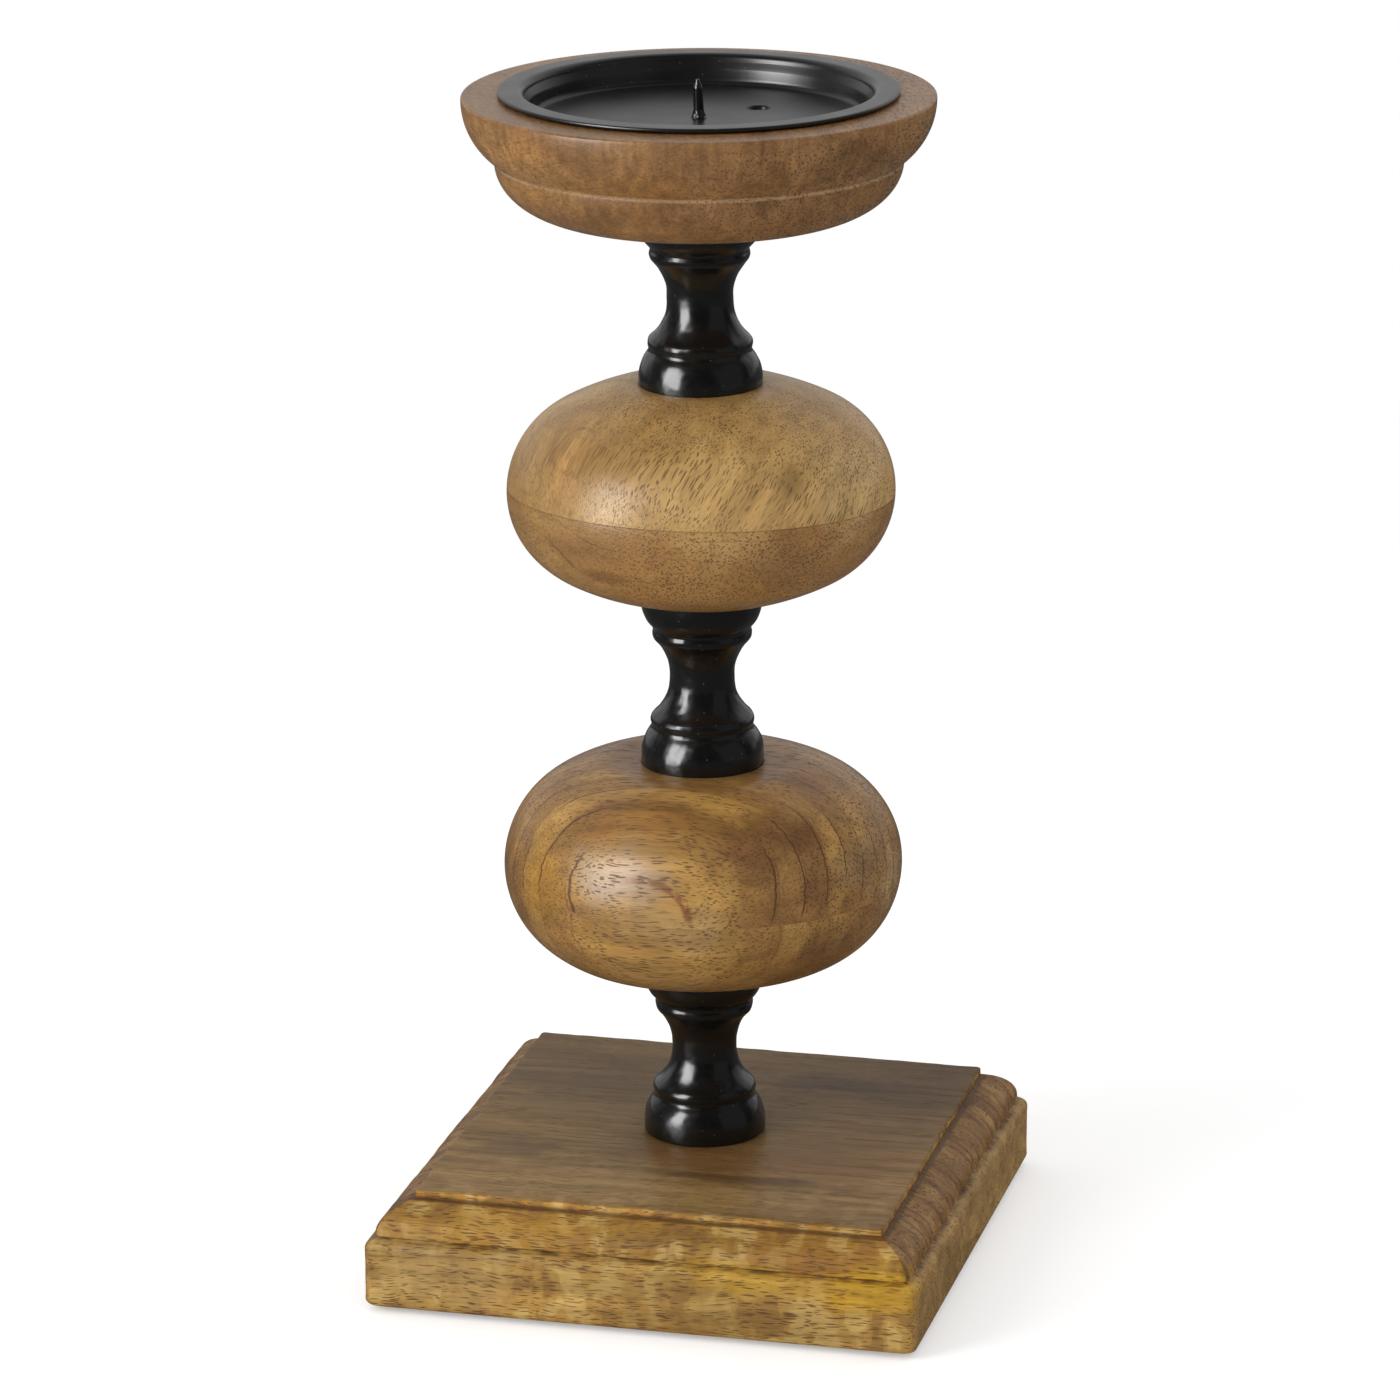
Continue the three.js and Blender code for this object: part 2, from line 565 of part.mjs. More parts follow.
const padPlace = BASE_WIDTH / 2 - PAD_INSET;
[[-1, -1], [1, -1], [1, 1], [-1, 1]].forEach(([x, y], i) => {
  place("felt_pad_" + (i + 1), feltPad(), felt, 0, x * padPlace, y * padPlace);
});
place("base_block", baseBlock(), baseWood, baseBottom);
place("lower_spool", spool(), enamel, lowerSpoolFoot);
place("lower_ball", ball(LOWER_BALL), lowerBallWood, lowerBallFoot);
place("middle_spool", spool(), enamel, middleSpoolFoot);
place("upper_ball", ball(UPPER_BALL), upperBallWood, upperBallFoot);
place("upper_spool", spool(), enamel, upperSpoolFoot);
place("cup", cup(), cupWood, cupFoot);
place("candle_pan", candlePan(), panPaint, panFloorUnder);
place("spike", spike(), panPaint, panFloorTop + SEAT_GAP);
const screwSeat = panFloorTop - DIMPLE_DEPTH + SEAT_GAP;
place("pan_screw", panScrew(), panPaint, screwSeat, screwPlace.x, screwPlace.y);
place("tie_rod", tieRod(), zinc, rodBottom);
place("base_washer", washer(), zinc, baseWasherTop - WASHER_THICKNESS);
place("base_nut", hexNut(), zinc, baseNutTop - NUT_HEIGHT);
place("cup_washer", washer(), zinc, cupWasherFoot);
place("cup_nut", hexNut(), zinc, cupNutFoot);

export default holder;
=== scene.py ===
"""Candle holder: the looks round its packed parts.

Mango wood balls, a cup and a square moulded base, black enamelled spools, a pressed steel candle
pan with its nail spike and its screw, and the rod, nuts, washers and pads that hardly show.
Each shape is an outline that is carried round an axis or round a square, worked out with numpy in
metres, in the frame of the packed model.
"""

import math
from functools import cached_property

import bpy
import numpy as np
from bpy.props import FloatProperty, FloatVectorProperty, PointerProperty
from mathutils import Matrix, Vector


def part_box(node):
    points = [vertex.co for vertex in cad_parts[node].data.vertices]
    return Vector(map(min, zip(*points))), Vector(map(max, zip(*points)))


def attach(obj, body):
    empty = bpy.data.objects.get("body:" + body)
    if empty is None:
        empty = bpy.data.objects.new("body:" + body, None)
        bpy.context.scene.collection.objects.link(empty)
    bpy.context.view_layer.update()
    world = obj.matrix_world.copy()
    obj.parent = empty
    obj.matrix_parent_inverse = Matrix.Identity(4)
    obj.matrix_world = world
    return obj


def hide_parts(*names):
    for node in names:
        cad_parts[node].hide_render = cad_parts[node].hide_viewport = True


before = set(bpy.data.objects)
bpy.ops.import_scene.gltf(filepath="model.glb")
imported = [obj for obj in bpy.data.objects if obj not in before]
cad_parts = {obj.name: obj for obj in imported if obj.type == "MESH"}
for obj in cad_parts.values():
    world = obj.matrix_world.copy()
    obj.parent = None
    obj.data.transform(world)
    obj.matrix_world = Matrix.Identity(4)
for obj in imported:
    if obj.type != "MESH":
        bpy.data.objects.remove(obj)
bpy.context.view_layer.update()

bl_info = {
    "name": "Candle holder",
    "version": (1, 0, 0),
    "blender": (4, 5, 0),
    "location": "3D View > Sidebar > Candle holder",
    "description": "Builds a turned pillar candle holder and its photo studio",
    "category": "Add Mesh",
}

MM = 0.001
QUARTER = math.pi / 2
SIDES_LARGE = 288
SIDES_SMALL = 96
SIDES_ROD = 32
BLACK = (0, 0, 0)
WHITE = (1, 1, 1)
# How far the photograph's middle is moved, as shares of its width of 1400 pixels
PHOTO_SHIFT = (-2.4 / 1400, -1.0 / 1400)

# How finely each kind of turned piece is made: the radius of its sanding and its longest step in
# millimetres, its sharpest turn in degrees, and its sides
DETAIL = {
    "spool": (0.34, 0.9, 8, 200),
    "ball": (0.14, 2, 7, SIDES_LARGE),
    "cup": (0.14, 2, 8, SIDES_LARGE),
    "spike": (0.07, 0.3, 8, SIDES_SMALL),
    "screw": (0.06, 0.22, 9, SIDES_SMALL),
    "washer": (0.12, 1.5, 15, SIDES_SMALL),
    "pad": (0.3, 1, 15, SIDES_SMALL),
}

# How the base's and the pan's section are softened: the step in millimetres that they are laid out
# in, how many steps on each side count and the spread of their weights, then the longest step and
# the sharpest turn that are left
EASING = {
    "base": (0.12, 5, 1.6, 1.3, 11),
    "pan": (0.05, 6, 2.4, 1.2, 9),
}

# Layers of waves: the size of each in millimetres and its share
ENAMEL_LUMPS = (8.5, 0.8), (3.2, 0.26)
CUT_WAVES = (26, 0.6), (9, 0.4)
CHIP_WAVES = (14, 0.6), (5, 0.4)
BALL_WAVES = (45, 0.08),

# How much each side of the field's edge is chipped
WORN_LEFT = 0.45
WORN_RIGHT = 0.3
WORN_FRONT = 1.0
WORN_BACK = 0.12


# Sizes from the frame

def foot(node):
    """Height of a node's lowest point."""
    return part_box(node)[0].z


def top(node):
    """Height of a node's highest point."""
    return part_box(node)[1].z


def reach(node):
    """Half of a node's width along X, which is the radius of a turned node."""
    low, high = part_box(node)
    return (high.x - low.x) / 2


def middle(node):
    """The node's middle in X and Y."""
    low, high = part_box(node)
    return (low.x + high.x) / 2, (low.y + high.y) / 2


def node_centre(node):
    """The middle of a node's box."""
    low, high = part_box(node)
    return (low + high) / 2


# Sizes and colours that can be changed

def number(name, description, default, **more):
    """A property that holds one number."""
    return FloatProperty(name=name, description=description, default=default, **more)


def numbers(name, description, default, **more):
    """A property that holds several numbers."""
    return FloatVectorProperty(name=name, description=description, default=default, **more)


def length(name, description, millimetres):
    """A size, with its default given in millimetres."""
    return number(name, description, millimetres * MM, unit="LENGTH", precision=5)


def pair(name, description, *millimetres):
    """A size of the lower piece or place and one of the upper, in millimetres."""
    return numbers(name, description, [mm * MM for mm in millimetres], size=2, unit="LENGTH", precision=5)


def share(name, description, default):
    """A number from 0 to 1."""
    return number(name, description, default, min=0, max=1, subtype="FACTOR")


def colour(name, description, *default):
    """A colour, in linear values."""
    return numbers(name, description, default, min=0, max=1, subtype="COLOR")


def values(name):
    """The scene's own group of sizes or colours."""
    return getattr(bpy.context.scene, "candle_" + name)


class SpoolSizes(bpy.types.PropertyGroup):
    """Outline of the black spools; heights are above the spool's own end."""

    waist: length("Waist radius", "Radius of the straight waist", 10)
    top_bell: length("Top bell radius", "Radius of the bell at the upper end", 18.7)
    groove_radius: pair("Groove radii", "Radius of the groove at the foot and the top", 15.6, 15.15)
    bead_radius: pair("Bead radii", "Radius of the bead at the foot and the top", 15.95, 15.3)
    bell_bulge: length("Bell bulge", "How far the bell reaches out from its centre", 6)
    bell_centre: length("Bell centre height", "Height of the bell's widest place", 2.6)
    bell_half: length("Bell half height", "Half height of the bell's ellipse", 10)
    bell_top: length("Bell top height", "Height where the bell ends", 11.2)
    groove: length("Groove height", "Height of the groove", 11.9)
    bead_foot: length("Bead foot height", "Height where the bead starts", 12.6)
    bead_bulge: length("Bead bulge", "How far the bead reaches out from its centre", 2.8)
    bead_half: length("Bead half height", "Half height of the bead's ellipse", 2.7)
    bead_centre: length("Bead centre height", "Height of the bead's widest place", 14)
    bead_top: length("Bead top height", "Height where the bead ends", 15.9)
    cove_top: length("Cove top height", "Height where the cove meets the waist", 26.8)
    lump_depth: length("Lump depth", "Unevenness of the thick enamel", 0.08)


class BallSizes(bpy.types.PropertyGroup):
    """Outlines of the lower and the upper ball, and their seats for the spools."""

    equator: pair("Equator arcs", "Radius of the equator's arc", 30.4, 27.9)
    pole: pair("Pole heights", "Height of the crown above the equator", 36.1, 35.45)
    below: pair("Margins below", "Flat margin round the seat below", 1.75, 1.75)
    above: pair("Margins above", "Flat margin round the seat above", 8.3, 1.3)
    seat_below: pair("Seats below", "Depth of the seat below", 1.9, 1.3)
    seat_above: pair("Seats above", "Depth of the seat above", 0.5, 1.5)
    blend: length("Flat blend", "Radius of the arc between a crown and its flat margin", 24)
    foot_seat: length("Foot seat radius", "Radius of a seat for a spool's foot", 18.7)
    top_seat: length("Top seat radius", "Radius of a seat for a spool's top", 18.4)


class CupSizes(bpy.types.PropertyGroup):
    """Outline of the wooden cup; heights are above its underside."""

    rim_round: length("Rim round", "Radius of the rim's edge", 0.8)
    band: length("Band height", "From the rim down to the step", 18.4)
    band_straight: length("Band straight", "From the rim down to where the band curves in", 1)
    band_arc: length("Band arc", "Radius of the band's curve", 21.8)
    step: length("Step", "Width and height of the step under the band", 1)
    underside: length("Underside radius", "Radius of the flat underside", 38)
    seat_depth: length("Seat depth", "Depth of the seat for the spool", 2)
    recess_radius: length("Recess radius", "Radius of the recess for the pan", 53.3)
    recess_depth: length("Recess depth", "From the rim down to the recess's floor", 8.45)
    dimple_depth: length("Hollow depth", "Depth of the hollow under the pan's screw", 2)


class BaseSizes(bpy.types.PropertyGroup):
    """Section of the square base; heights are above its underside."""

    field_half: length("Field half width", "Half width of the raised field", 72.45)
    field_step: length("Field step", "Height of the step at the field's edge", 2.5)
    field_round: length("Field edge round", "Radius of the field's upper edge", 0.5)
    side: length("Side height", "Height of the upright side", 21.3)
    side_round: length("Side top round", "Radius of the side's upper arris", 2.8)
    quirk_depth: length("Quirk depth", "How far the quirk cuts in behind the ovolo's foot", 0.6)
    quirk_height: length("Quirk height", "Height of the quirk", 1)
    arris: length("Arris", "Radius of the side's lower arris", 2.4)
    corner: length("Corner round", "Radius of the upright corners", 3)
    field_corner: length("Field corner round", "Radius of the field's corners", 1)
    ovolo: share("Ovolo fullness", "Share of a quarter ellipse that the ovolo runs through", 0.72)
    chip: length("Chip depth", "Depth of the chips along the field's front edge", 1.1)
    waviness: length("Waviness", "Unevenness of the hand-cut moulding", 0.16)


class PanSizes(bpy.types.PropertyGroup):
    """Pressed pan, its screw and its spike."""

    sheet: length("Sheet", "Thickness of the steel sheet", 1.2)
    mouth: length("Mouth radius", "Radius of the pan's opening", 51.8)
    floor: length("Floor radius", "Radius of the inner wall above the floor", 50)
    mouth_bend: length("Mouth bend", "Radius of the bend at the flange", 2.2)
    floor_bend: length("Floor bend", "Radius of the bend at the floor", 2)
    ledge: length("Ledge", "How far the wall steps out halfway up", 0.5)
    ledge_foot: length("Ledge foot", "How far the wall leans out below the ledge", 0.4)
    ledge_height: length("Ledge height", "Height of the ledge's slope", 0.3)
    dimple_depth: length("Dimple depth", "Depth of the dimple that the screw's head lies in", 1.6)
    dimple_radius: length("Dimple radius", "Radius of the dimple's floor", 2.75)
    dimple_wall: length("Dimple wall", "How far the dimple's wall slopes out", 0.9)
    spike_radius: length("Spike radius", "Radius of the nail", 1.55)
    spike_neck: length("Spike neck radius", "Radius where the cut tip starts", 1.35)
    spike_tip: length("Spike tip height", "Height of the cut tip", 2.6)
    spike_point: length("Spike point radius", "Radius of the blunt point", 0.5)
    spike_lean: length("Spike lean", "How far the nail's end leans to the left", 0.35)
    weld: length("Weld height", "Height of the bead of weld", 2.8)
    screw_head: length("Screw head height", "Height of the screw's low dome", 0.7)
    screw_shank: length("Screw shank radius", "Radius of the screw's shank", 1.5)
    slot_depth: length("Slot depth", "Depth of the screw's cross recess", 0.45)


class HardwareSizes(bpy.types.PropertyGroup):
    """Rod, nuts, washers and pads."""

    pitch: length("Thread pitch", "Pitch of the rod's thread", 1.25)
    thread_depth: length("Thread depth", "Depth of the rod's thread", 0.65)
    threaded: length("Threaded end", "Length of the thread at each end of the rod", 24)
    rod_chamfer: length("Rod chamfer", "Chamfer of the rod's ends", 0.8)
    hole: length("Hole radius", "Radius of the hole in the nuts and washers", 4.15)
    bore: length("Bore radius", "Radius of the hole for the rod in the wood and the spools", 4.5)
    nut_room: length("Nut room radius", "Radius of the room for a nut in the base and the cup", 15)
    nut_depth: length("Nut room depth", "Depth of the room for a nut", 12)
    nut_flats: length("Nut width", "Width of a nut across its flats", 13)


class Finishes(bpy.types.PropertyGroup):
    """Colours of the finishes."""

    upper_light: colour("Upper ball light", "Pale wood of the upper ball", 0.521, 0.32, 0.113)
    upper_dark: colour("Upper ball dark", "Darker wood of the upper ball", 0.391, 0.225, 0.074)
    upper_board: colour("Upper ball's lower board", "Browner board under the glue line", 0.3, 0.148, 0.046)
    lower_light: colour("Lower ball light", "Pale wood of the lower ball", 0.423, 0.237, 0.063)
    lower_dark: colour("Lower ball dark", "Darker wood of the lower ball", 0.239, 0.116, 0.034)
    cup_light: colour("Cup light", "Pale wood of the cup", 0.315, 0.166, 0.062)
    cup_dark: colour("Cup dark", "Darker wood of the cup", 0.17, 0.081, 0.03)
    field: colour("Base field", "Grey brown of the base's field", 0.252, 0.15, 0.05)
    moulding: colour("Base moulding", "Ochre of the moulding's front", 0.399, 0.211, 0.042)
    side: colour("Base side", "Yellow tan of the base's front", 0.475, 0.275, 0.072)
    end: colour("Base end", "Dull brown of the base's ends", 0.37, 0.22, 0.078)
    end_moulding: colour("Base end moulding", "Reddish brown of the moulding's ends", 0.266, 0.133, 0.042)
    # Painted highlight: the step's bright orange stands in for the light that its upright face catches.
    step: colour("Base step", "Orange of the step round the field", 0.522, 0.258, 0.048)
    pore: colour("Pores", "Reddish brown of the wood's pores", 0.09, 0.036, 0.014)
    enamel: colour("Enamel", "Black of the spools", 0.0045, 0.0045, 0.0043)
    pan: colour("Pan paint", "Black of the pan", 0.0075, 0.0073, 0.007)
    dust: colour("Dust", "Grey of dust on the black paint", 0.3, 0.28, 0.25)
    # Painted highlight: the screw's light steel grey stands in for the glint on its head.
    screw: colour("Screw", "Worn steel of the screw's head", 0.26, 0.25, 0.25)
    zinc: colour("Zinc", "Plating of the rod and nuts", 0.56, 0.57, 0.57)
    felt: colour("Felt", "Felt of the pads", 0.032, 0.028, 0.025)
    floor: colour("Studio floor", "Pale floor of the studio", 0.86, 0.86, 0.86)


class StudioSizes(bpy.types.PropertyGroup):
    """Camera and lamps of the studio."""

    distance: number("Camera distance", "From the camera to the target", 1.9655, unit="LENGTH")
    target: number("Target height", "Height that the camera looks at", 0.17463, unit="LENGTH", precision=5)
    azimuth: number("Azimuth", "Turn of the camera round the holder, to the right",
                    math.radians(14.2), subtype="ANGLE")
    elevation: number("Elevation", "Camera's angle above the horizon", 0.294, subtype="ANGLE")
    roll: number("Roll", "Turn of the camera about its own axis", -0.006, subtype="ANGLE")
    lens: number("Lens", "Focal length on a 36 mm sensor", 166.09, unit="CAMERA")
    key: number("Key light", "Power of the softbox at the left", 11, min=0)
    shine: number("Key shine", "Power that the softbox adds in reflections", 24, min=0)
    fill: number("Fill light", "Power of the panel at the right", 2, min=0)
    sky: number("Sky", "Strength of the even light all round", 0.77, min=0)
    back_shine: share("Back shine", "Brightness of the backdrop in reflections", 0.66)
    front_shine: share("Front shine", "Brightness of the dark front in reflections", 0.02)
    lift: share("Floor lift", "Share of its white that the floor has without light, for the camera", 0.34)


SIZE_GROUPS = {
    "spool": SpoolSizes,
    "balls": BallSizes,
    "cup": CupSizes,
    "base": BaseSizes,
    "pan": PanSizes,
    "hardware": HardwareSizes,
    "finishes": Finishes,
    "studio": StudioSizes,
}


# Outlines and meshes

def arc(centre, size, start, end, steps):
    """Points of an arc: centre plus size times (cos a, sin a), for a from start to end.

    The size is a radius, or an ellipse's half width and half height.
    """
    wide, high = size if isinstance(size, tuple) else (size, size)
    angle = np.linspace(start, end, steps + 1)
    return np.column_stack([centre[0] + wide * np.cos(angle), centre[1] + high * np.sin(angle)])


def path_length(points):
    """Distance along the points from the first to each one."""
    return np.concatenate([[0], np.cumsum(np.hypot(*np.diff(points, axis=0).T))])


def picked(points, at, places):
    """The points read off at the given places, where at is the measure of each point."""
    return np.column_stack([np.interp(places, at, points[:, i]) for i in range(points.shape[1])])


def averaged(columns, width, spread):
    """Each point's mean over its neighbours, width of them on each side, weighted by a bell curve."""
    bell = np.exp(-0.5 * (np.arange(-width, width + 1) / spread) ** 2)
    bell /= bell.sum()
    return np.column_stack([np.convolve(column, bell, "valid") for column in columns.T])


def sanded(points, radius, closed):
    """Soften an outline's corners as sanding does.

    The outline is laid out in small even steps, and averaged over about the radius. An outline that
    ends on the axis goes on past it as its mirror image, and a closed one goes round.
    """
    if closed:
        points = np.vstack([points, points[:1]])
    far = path_length(points)
    count = max(int(far[-1] / (radius / 3)), 8)
    even = picked(points, far, np.linspace(0, far[-1], count + 1))
    width = 9
    if closed:
        even = even[:-1]
        return averaged(np.vstack([even[-width:], even, even[:width]]), width, 3)
    before = even[width:0:-1] * [-1, 1]
    after = even[-2:-width - 2:-1] * [-1, 1]
    soft = averaged(np.vstack([before, even, after]), width, 3)
    soft[[0, -1], 0] = 0
    return soft


def eased(points, width, spread):
    """The points with their first two columns averaged, but for those within width of an end."""
    soft = points.copy()
    soft[width:-width, :2] = averaged(points[:, :2], width, spread)
    return soft


def spaced(points, longest, most_turn, closed):
    """Thin an outline out: no step is longer than longest or turns by more than most_turn degrees.

    Each step's length over longest, plus its turn over most_turn, is added up along the outline,
    and points are taken at even parts of that sum.
    """
    if closed:
        points = np.vstack([points, points[:1]])
    step = np.diff(points[:, :2], axis=0)
    heading = np.unwrap(np.arctan2(step[:, 1], step[:, 0]))
    turn = np.abs(np.diff(heading, prepend=heading[0]))
    measure = np.cumsum(np.hypot(*step.T) / longest + turn / math.radians(most_turn))
    measure = np.concatenate([[0], measure])
    thin = picked(points, measure, np.linspace(0, measure[-1], int(math.ceil(measure[-1])) + 1))
    return thin[:-1] if closed else thin


def softened(kind, points):
    """An open section laid out in even steps, eased and thinned out, as its kind needs."""
    step, width, spread, longest, most_turn = EASING[kind]
    far = path_length(points[:, :2])
    even = picked(points, far, np.arange(0, far[-1], step * MM))
    return spaced(eased(even, width, spread), longest * MM, most_turn, False)


def lathed(kind, outline, closed=True):
    """An outline sanded, thinned out and carried round the axis, as finely as its kind needs."""
    radius, longest, most_turn, sides = DETAIL[kind]
    return carried(spaced(sanded(outline, radius * MM, closed), longest * MM, most_turn, closed), sides)


def waves(points, size, seed, count=40):
    """Smooth noise with mean 0 and spread 1: a sum of plane waves, with its size in millimetres.

    Each wave is cos(k . p + phase), with a random direction, a length near size and a random phase.
    """
    rng = np.random.default_rng(seed)
    direction = rng.normal(size=(3, count))
    direction /= np.linalg.norm(direction, axis=0)
    wave_number = 2 * math.pi / (size * MM * rng.uniform(0.7, 1.6, count))
    phase = rng.uniform(0, 2 * math.pi, count)
    return np.cos(points @ (direction * wave_number) + phase).sum(-1) * math.sqrt(2 / count)


def layered(points, seed, layers):
    """The sum of some layers of waves, each a (size, share), with seeds that count up."""
    return sum(waves(points, size, seed + i) * part for i, (size, part) in enumerate(layers))


def smooth(low, high, value):
    """0 below low, 1 above high, and a smooth rise between them."""
    t = np.clip((value - low) / (high - low), 0, 1)
    return t * t * (3 - 2 * t)


def from_axis(grid):
    """Distance of each point from the Z axis."""
    return np.hypot(grid[..., 0], grid[..., 1])


def outward(grid, closed):
    """Normals of a grid of points: the cross product of its two directions, pointing out of the body."""
    along = np.gradient(grid, axis=0)
    if closed:
        along = (np.roll(grid, -1, 0) - np.roll(grid, 1, 0)) / 2
    across = (np.roll(grid, -1, 1) - np.roll(grid, 1, 1)) / 2
    normal = np.cross(across, along)
    return normal / np.maximum(np.linalg.norm(normal, axis=-1, keepdims=True), 1e-12)


def ring_of(radius, angle, height):
    """Points at a radius, an angle and a height, each an array or a number."""
    x = radius * np.cos(angle)
    return np.stack([x, radius * np.sin(angle), np.broadcast_to(height, x.shape)], -1)


def around(sides):
    """Even angles once round."""
    return np.linspace(0, 2 * math.pi, sides, endpoint=False)


def carried(outline, sides):
    """Carry an outline of (radius, height) round the Z axis: x = r cos a, y = r sin a, z = height."""
    return ring_of(outline[:, :1], around(sides), outline[:, 1:])


def volume(points, faces):
    """Signed volume of a closed mesh: a sixth of the sum of a . (b x c) over its triangles."""
    total = 0
    for i in range(1, faces.shape[1] - 1):
        cross = np.cross(points[faces[:, i]], points[faces[:, i + 1]])
        total += np.einsum("ij,ij->", points[faces[:, 0]], cross)
    return total / 6


def grid_faces(rows, sides, closed):
    """Quads between neighbouring rows of a grid whose rows are rings."""
    row = np.arange(rows if closed else rows - 1)[:, None]
    side = np.arange(sides)[None, :]
    row, next_row = row * sides, (row + 1) % rows * sides
    next_side = (side + 1) % sides
    quads = [row + side, row + next_side, next_row + next_side, next_row + side]
    return np.stack(quads, -1).reshape(-1, 4)


def pole_faces(rows, sides):
    """Triangles from the first and the last row of a grid to a pole point each."""
    side = np.arange(sides)
    next_side = (side + 1) % sides
    start = (rows - 1) * sides
    pole = np.full(sides, rows * sides)
    first = np.stack([next_side, side, pole], -1)
    last = np.stack([start + side, start + next_side, pole + 1], -1)
    return np.vstack([first, last])


def settle(piece, slot, *nodes):
    """Make a piece stand for its nodes, on the holder's one body."""
    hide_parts(*nodes)
    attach(piece, "root")


def placed(name, data):
    """Put an object with this mesh, lamp or camera into the scene."""
    made = bpy.data.objects.new(name, data)
    bpy.context.scene.collection.objects.link(made)
    return made


def add_body(name, node, slot, grid, closed, finish):
    """Make a node's body from a grid of rings, with smooth shading and faces that point out.

    The grid is closed on itself, or else its end rings are shrunk to poles.
    """
    rows, sides = grid.shape[:2]
    if closed:
        points, groups = grid.reshape(-1, 3), [grid_faces(rows, sides, True)]
    else:
        points = np.vstack([grid[1:-1].reshape(-1, 3), grid[0].mean(0), grid[-1].mean(0)])
        groups = [grid_faces(rows - 2, sides, False), pole_faces(rows - 2, sides)]
    faces = [face for group in groups for face in group.tolist()]
    if sum(volume(points, group) for group in groups) < 0:
        faces = [face[::-1] for face in faces]
    mesh = bpy.data.meshes.new(name)
    mesh.from_pydata(points.tolist(), [], faces)
    mesh.materials.append(finish)
    mesh.shade_smooth()
    mesh.update()
    piece = placed(name, mesh)
    settle(piece, slot, node)
    return piece


# Shader maths

def maths(operation, reflected=False):
    """A method that joins a wire and another value by a Math node."""

    def method(self, other):
        pair = (other, self) if reflected else (self, other)
        return self.joined(operation, *pair)

    return method


class Wire:
    """A socket that Python's arithmetic can be written on: each operator adds a Math node."""

    def __init__(self, finish, socket):
        self.finish = finish
        self.socket = socket

    def joined(self, operation, *inputs):
        return self.finish.node("Math", {"operation": operation}, dict(enumerate(inputs)))

    def alone(self, operation):
        return self.joined(operation, self)

    __add__ = __radd__ = maths("ADD")
    __sub__ = maths("SUBTRACT")
    __rsub__ = maths("SUBTRACT", True)
    __mul__ = __rmul__ = maths("MULTIPLY")
    __truediv__ = maths("DIVIDE")
    __pow__ = maths("POWER")

    def __abs__(self):
        return self.alone("ABSOLUTE")

    def capped(self):
        return self.joined("MINIMUM", self.joined("MAXIMUM", self, 0), 1)

    def rise(self, low, high):
        """0 at low, 1 at high, and smooth between; low may be the larger one."""
        if low > high:
            return 1 - self.rise(high, low)
        inputs = {"Value": self, "From Min": low, "From Max": high}
        return self.finish.node("MapRange", {"interpolation_type": "SMOOTHSTEP"}, inputs)


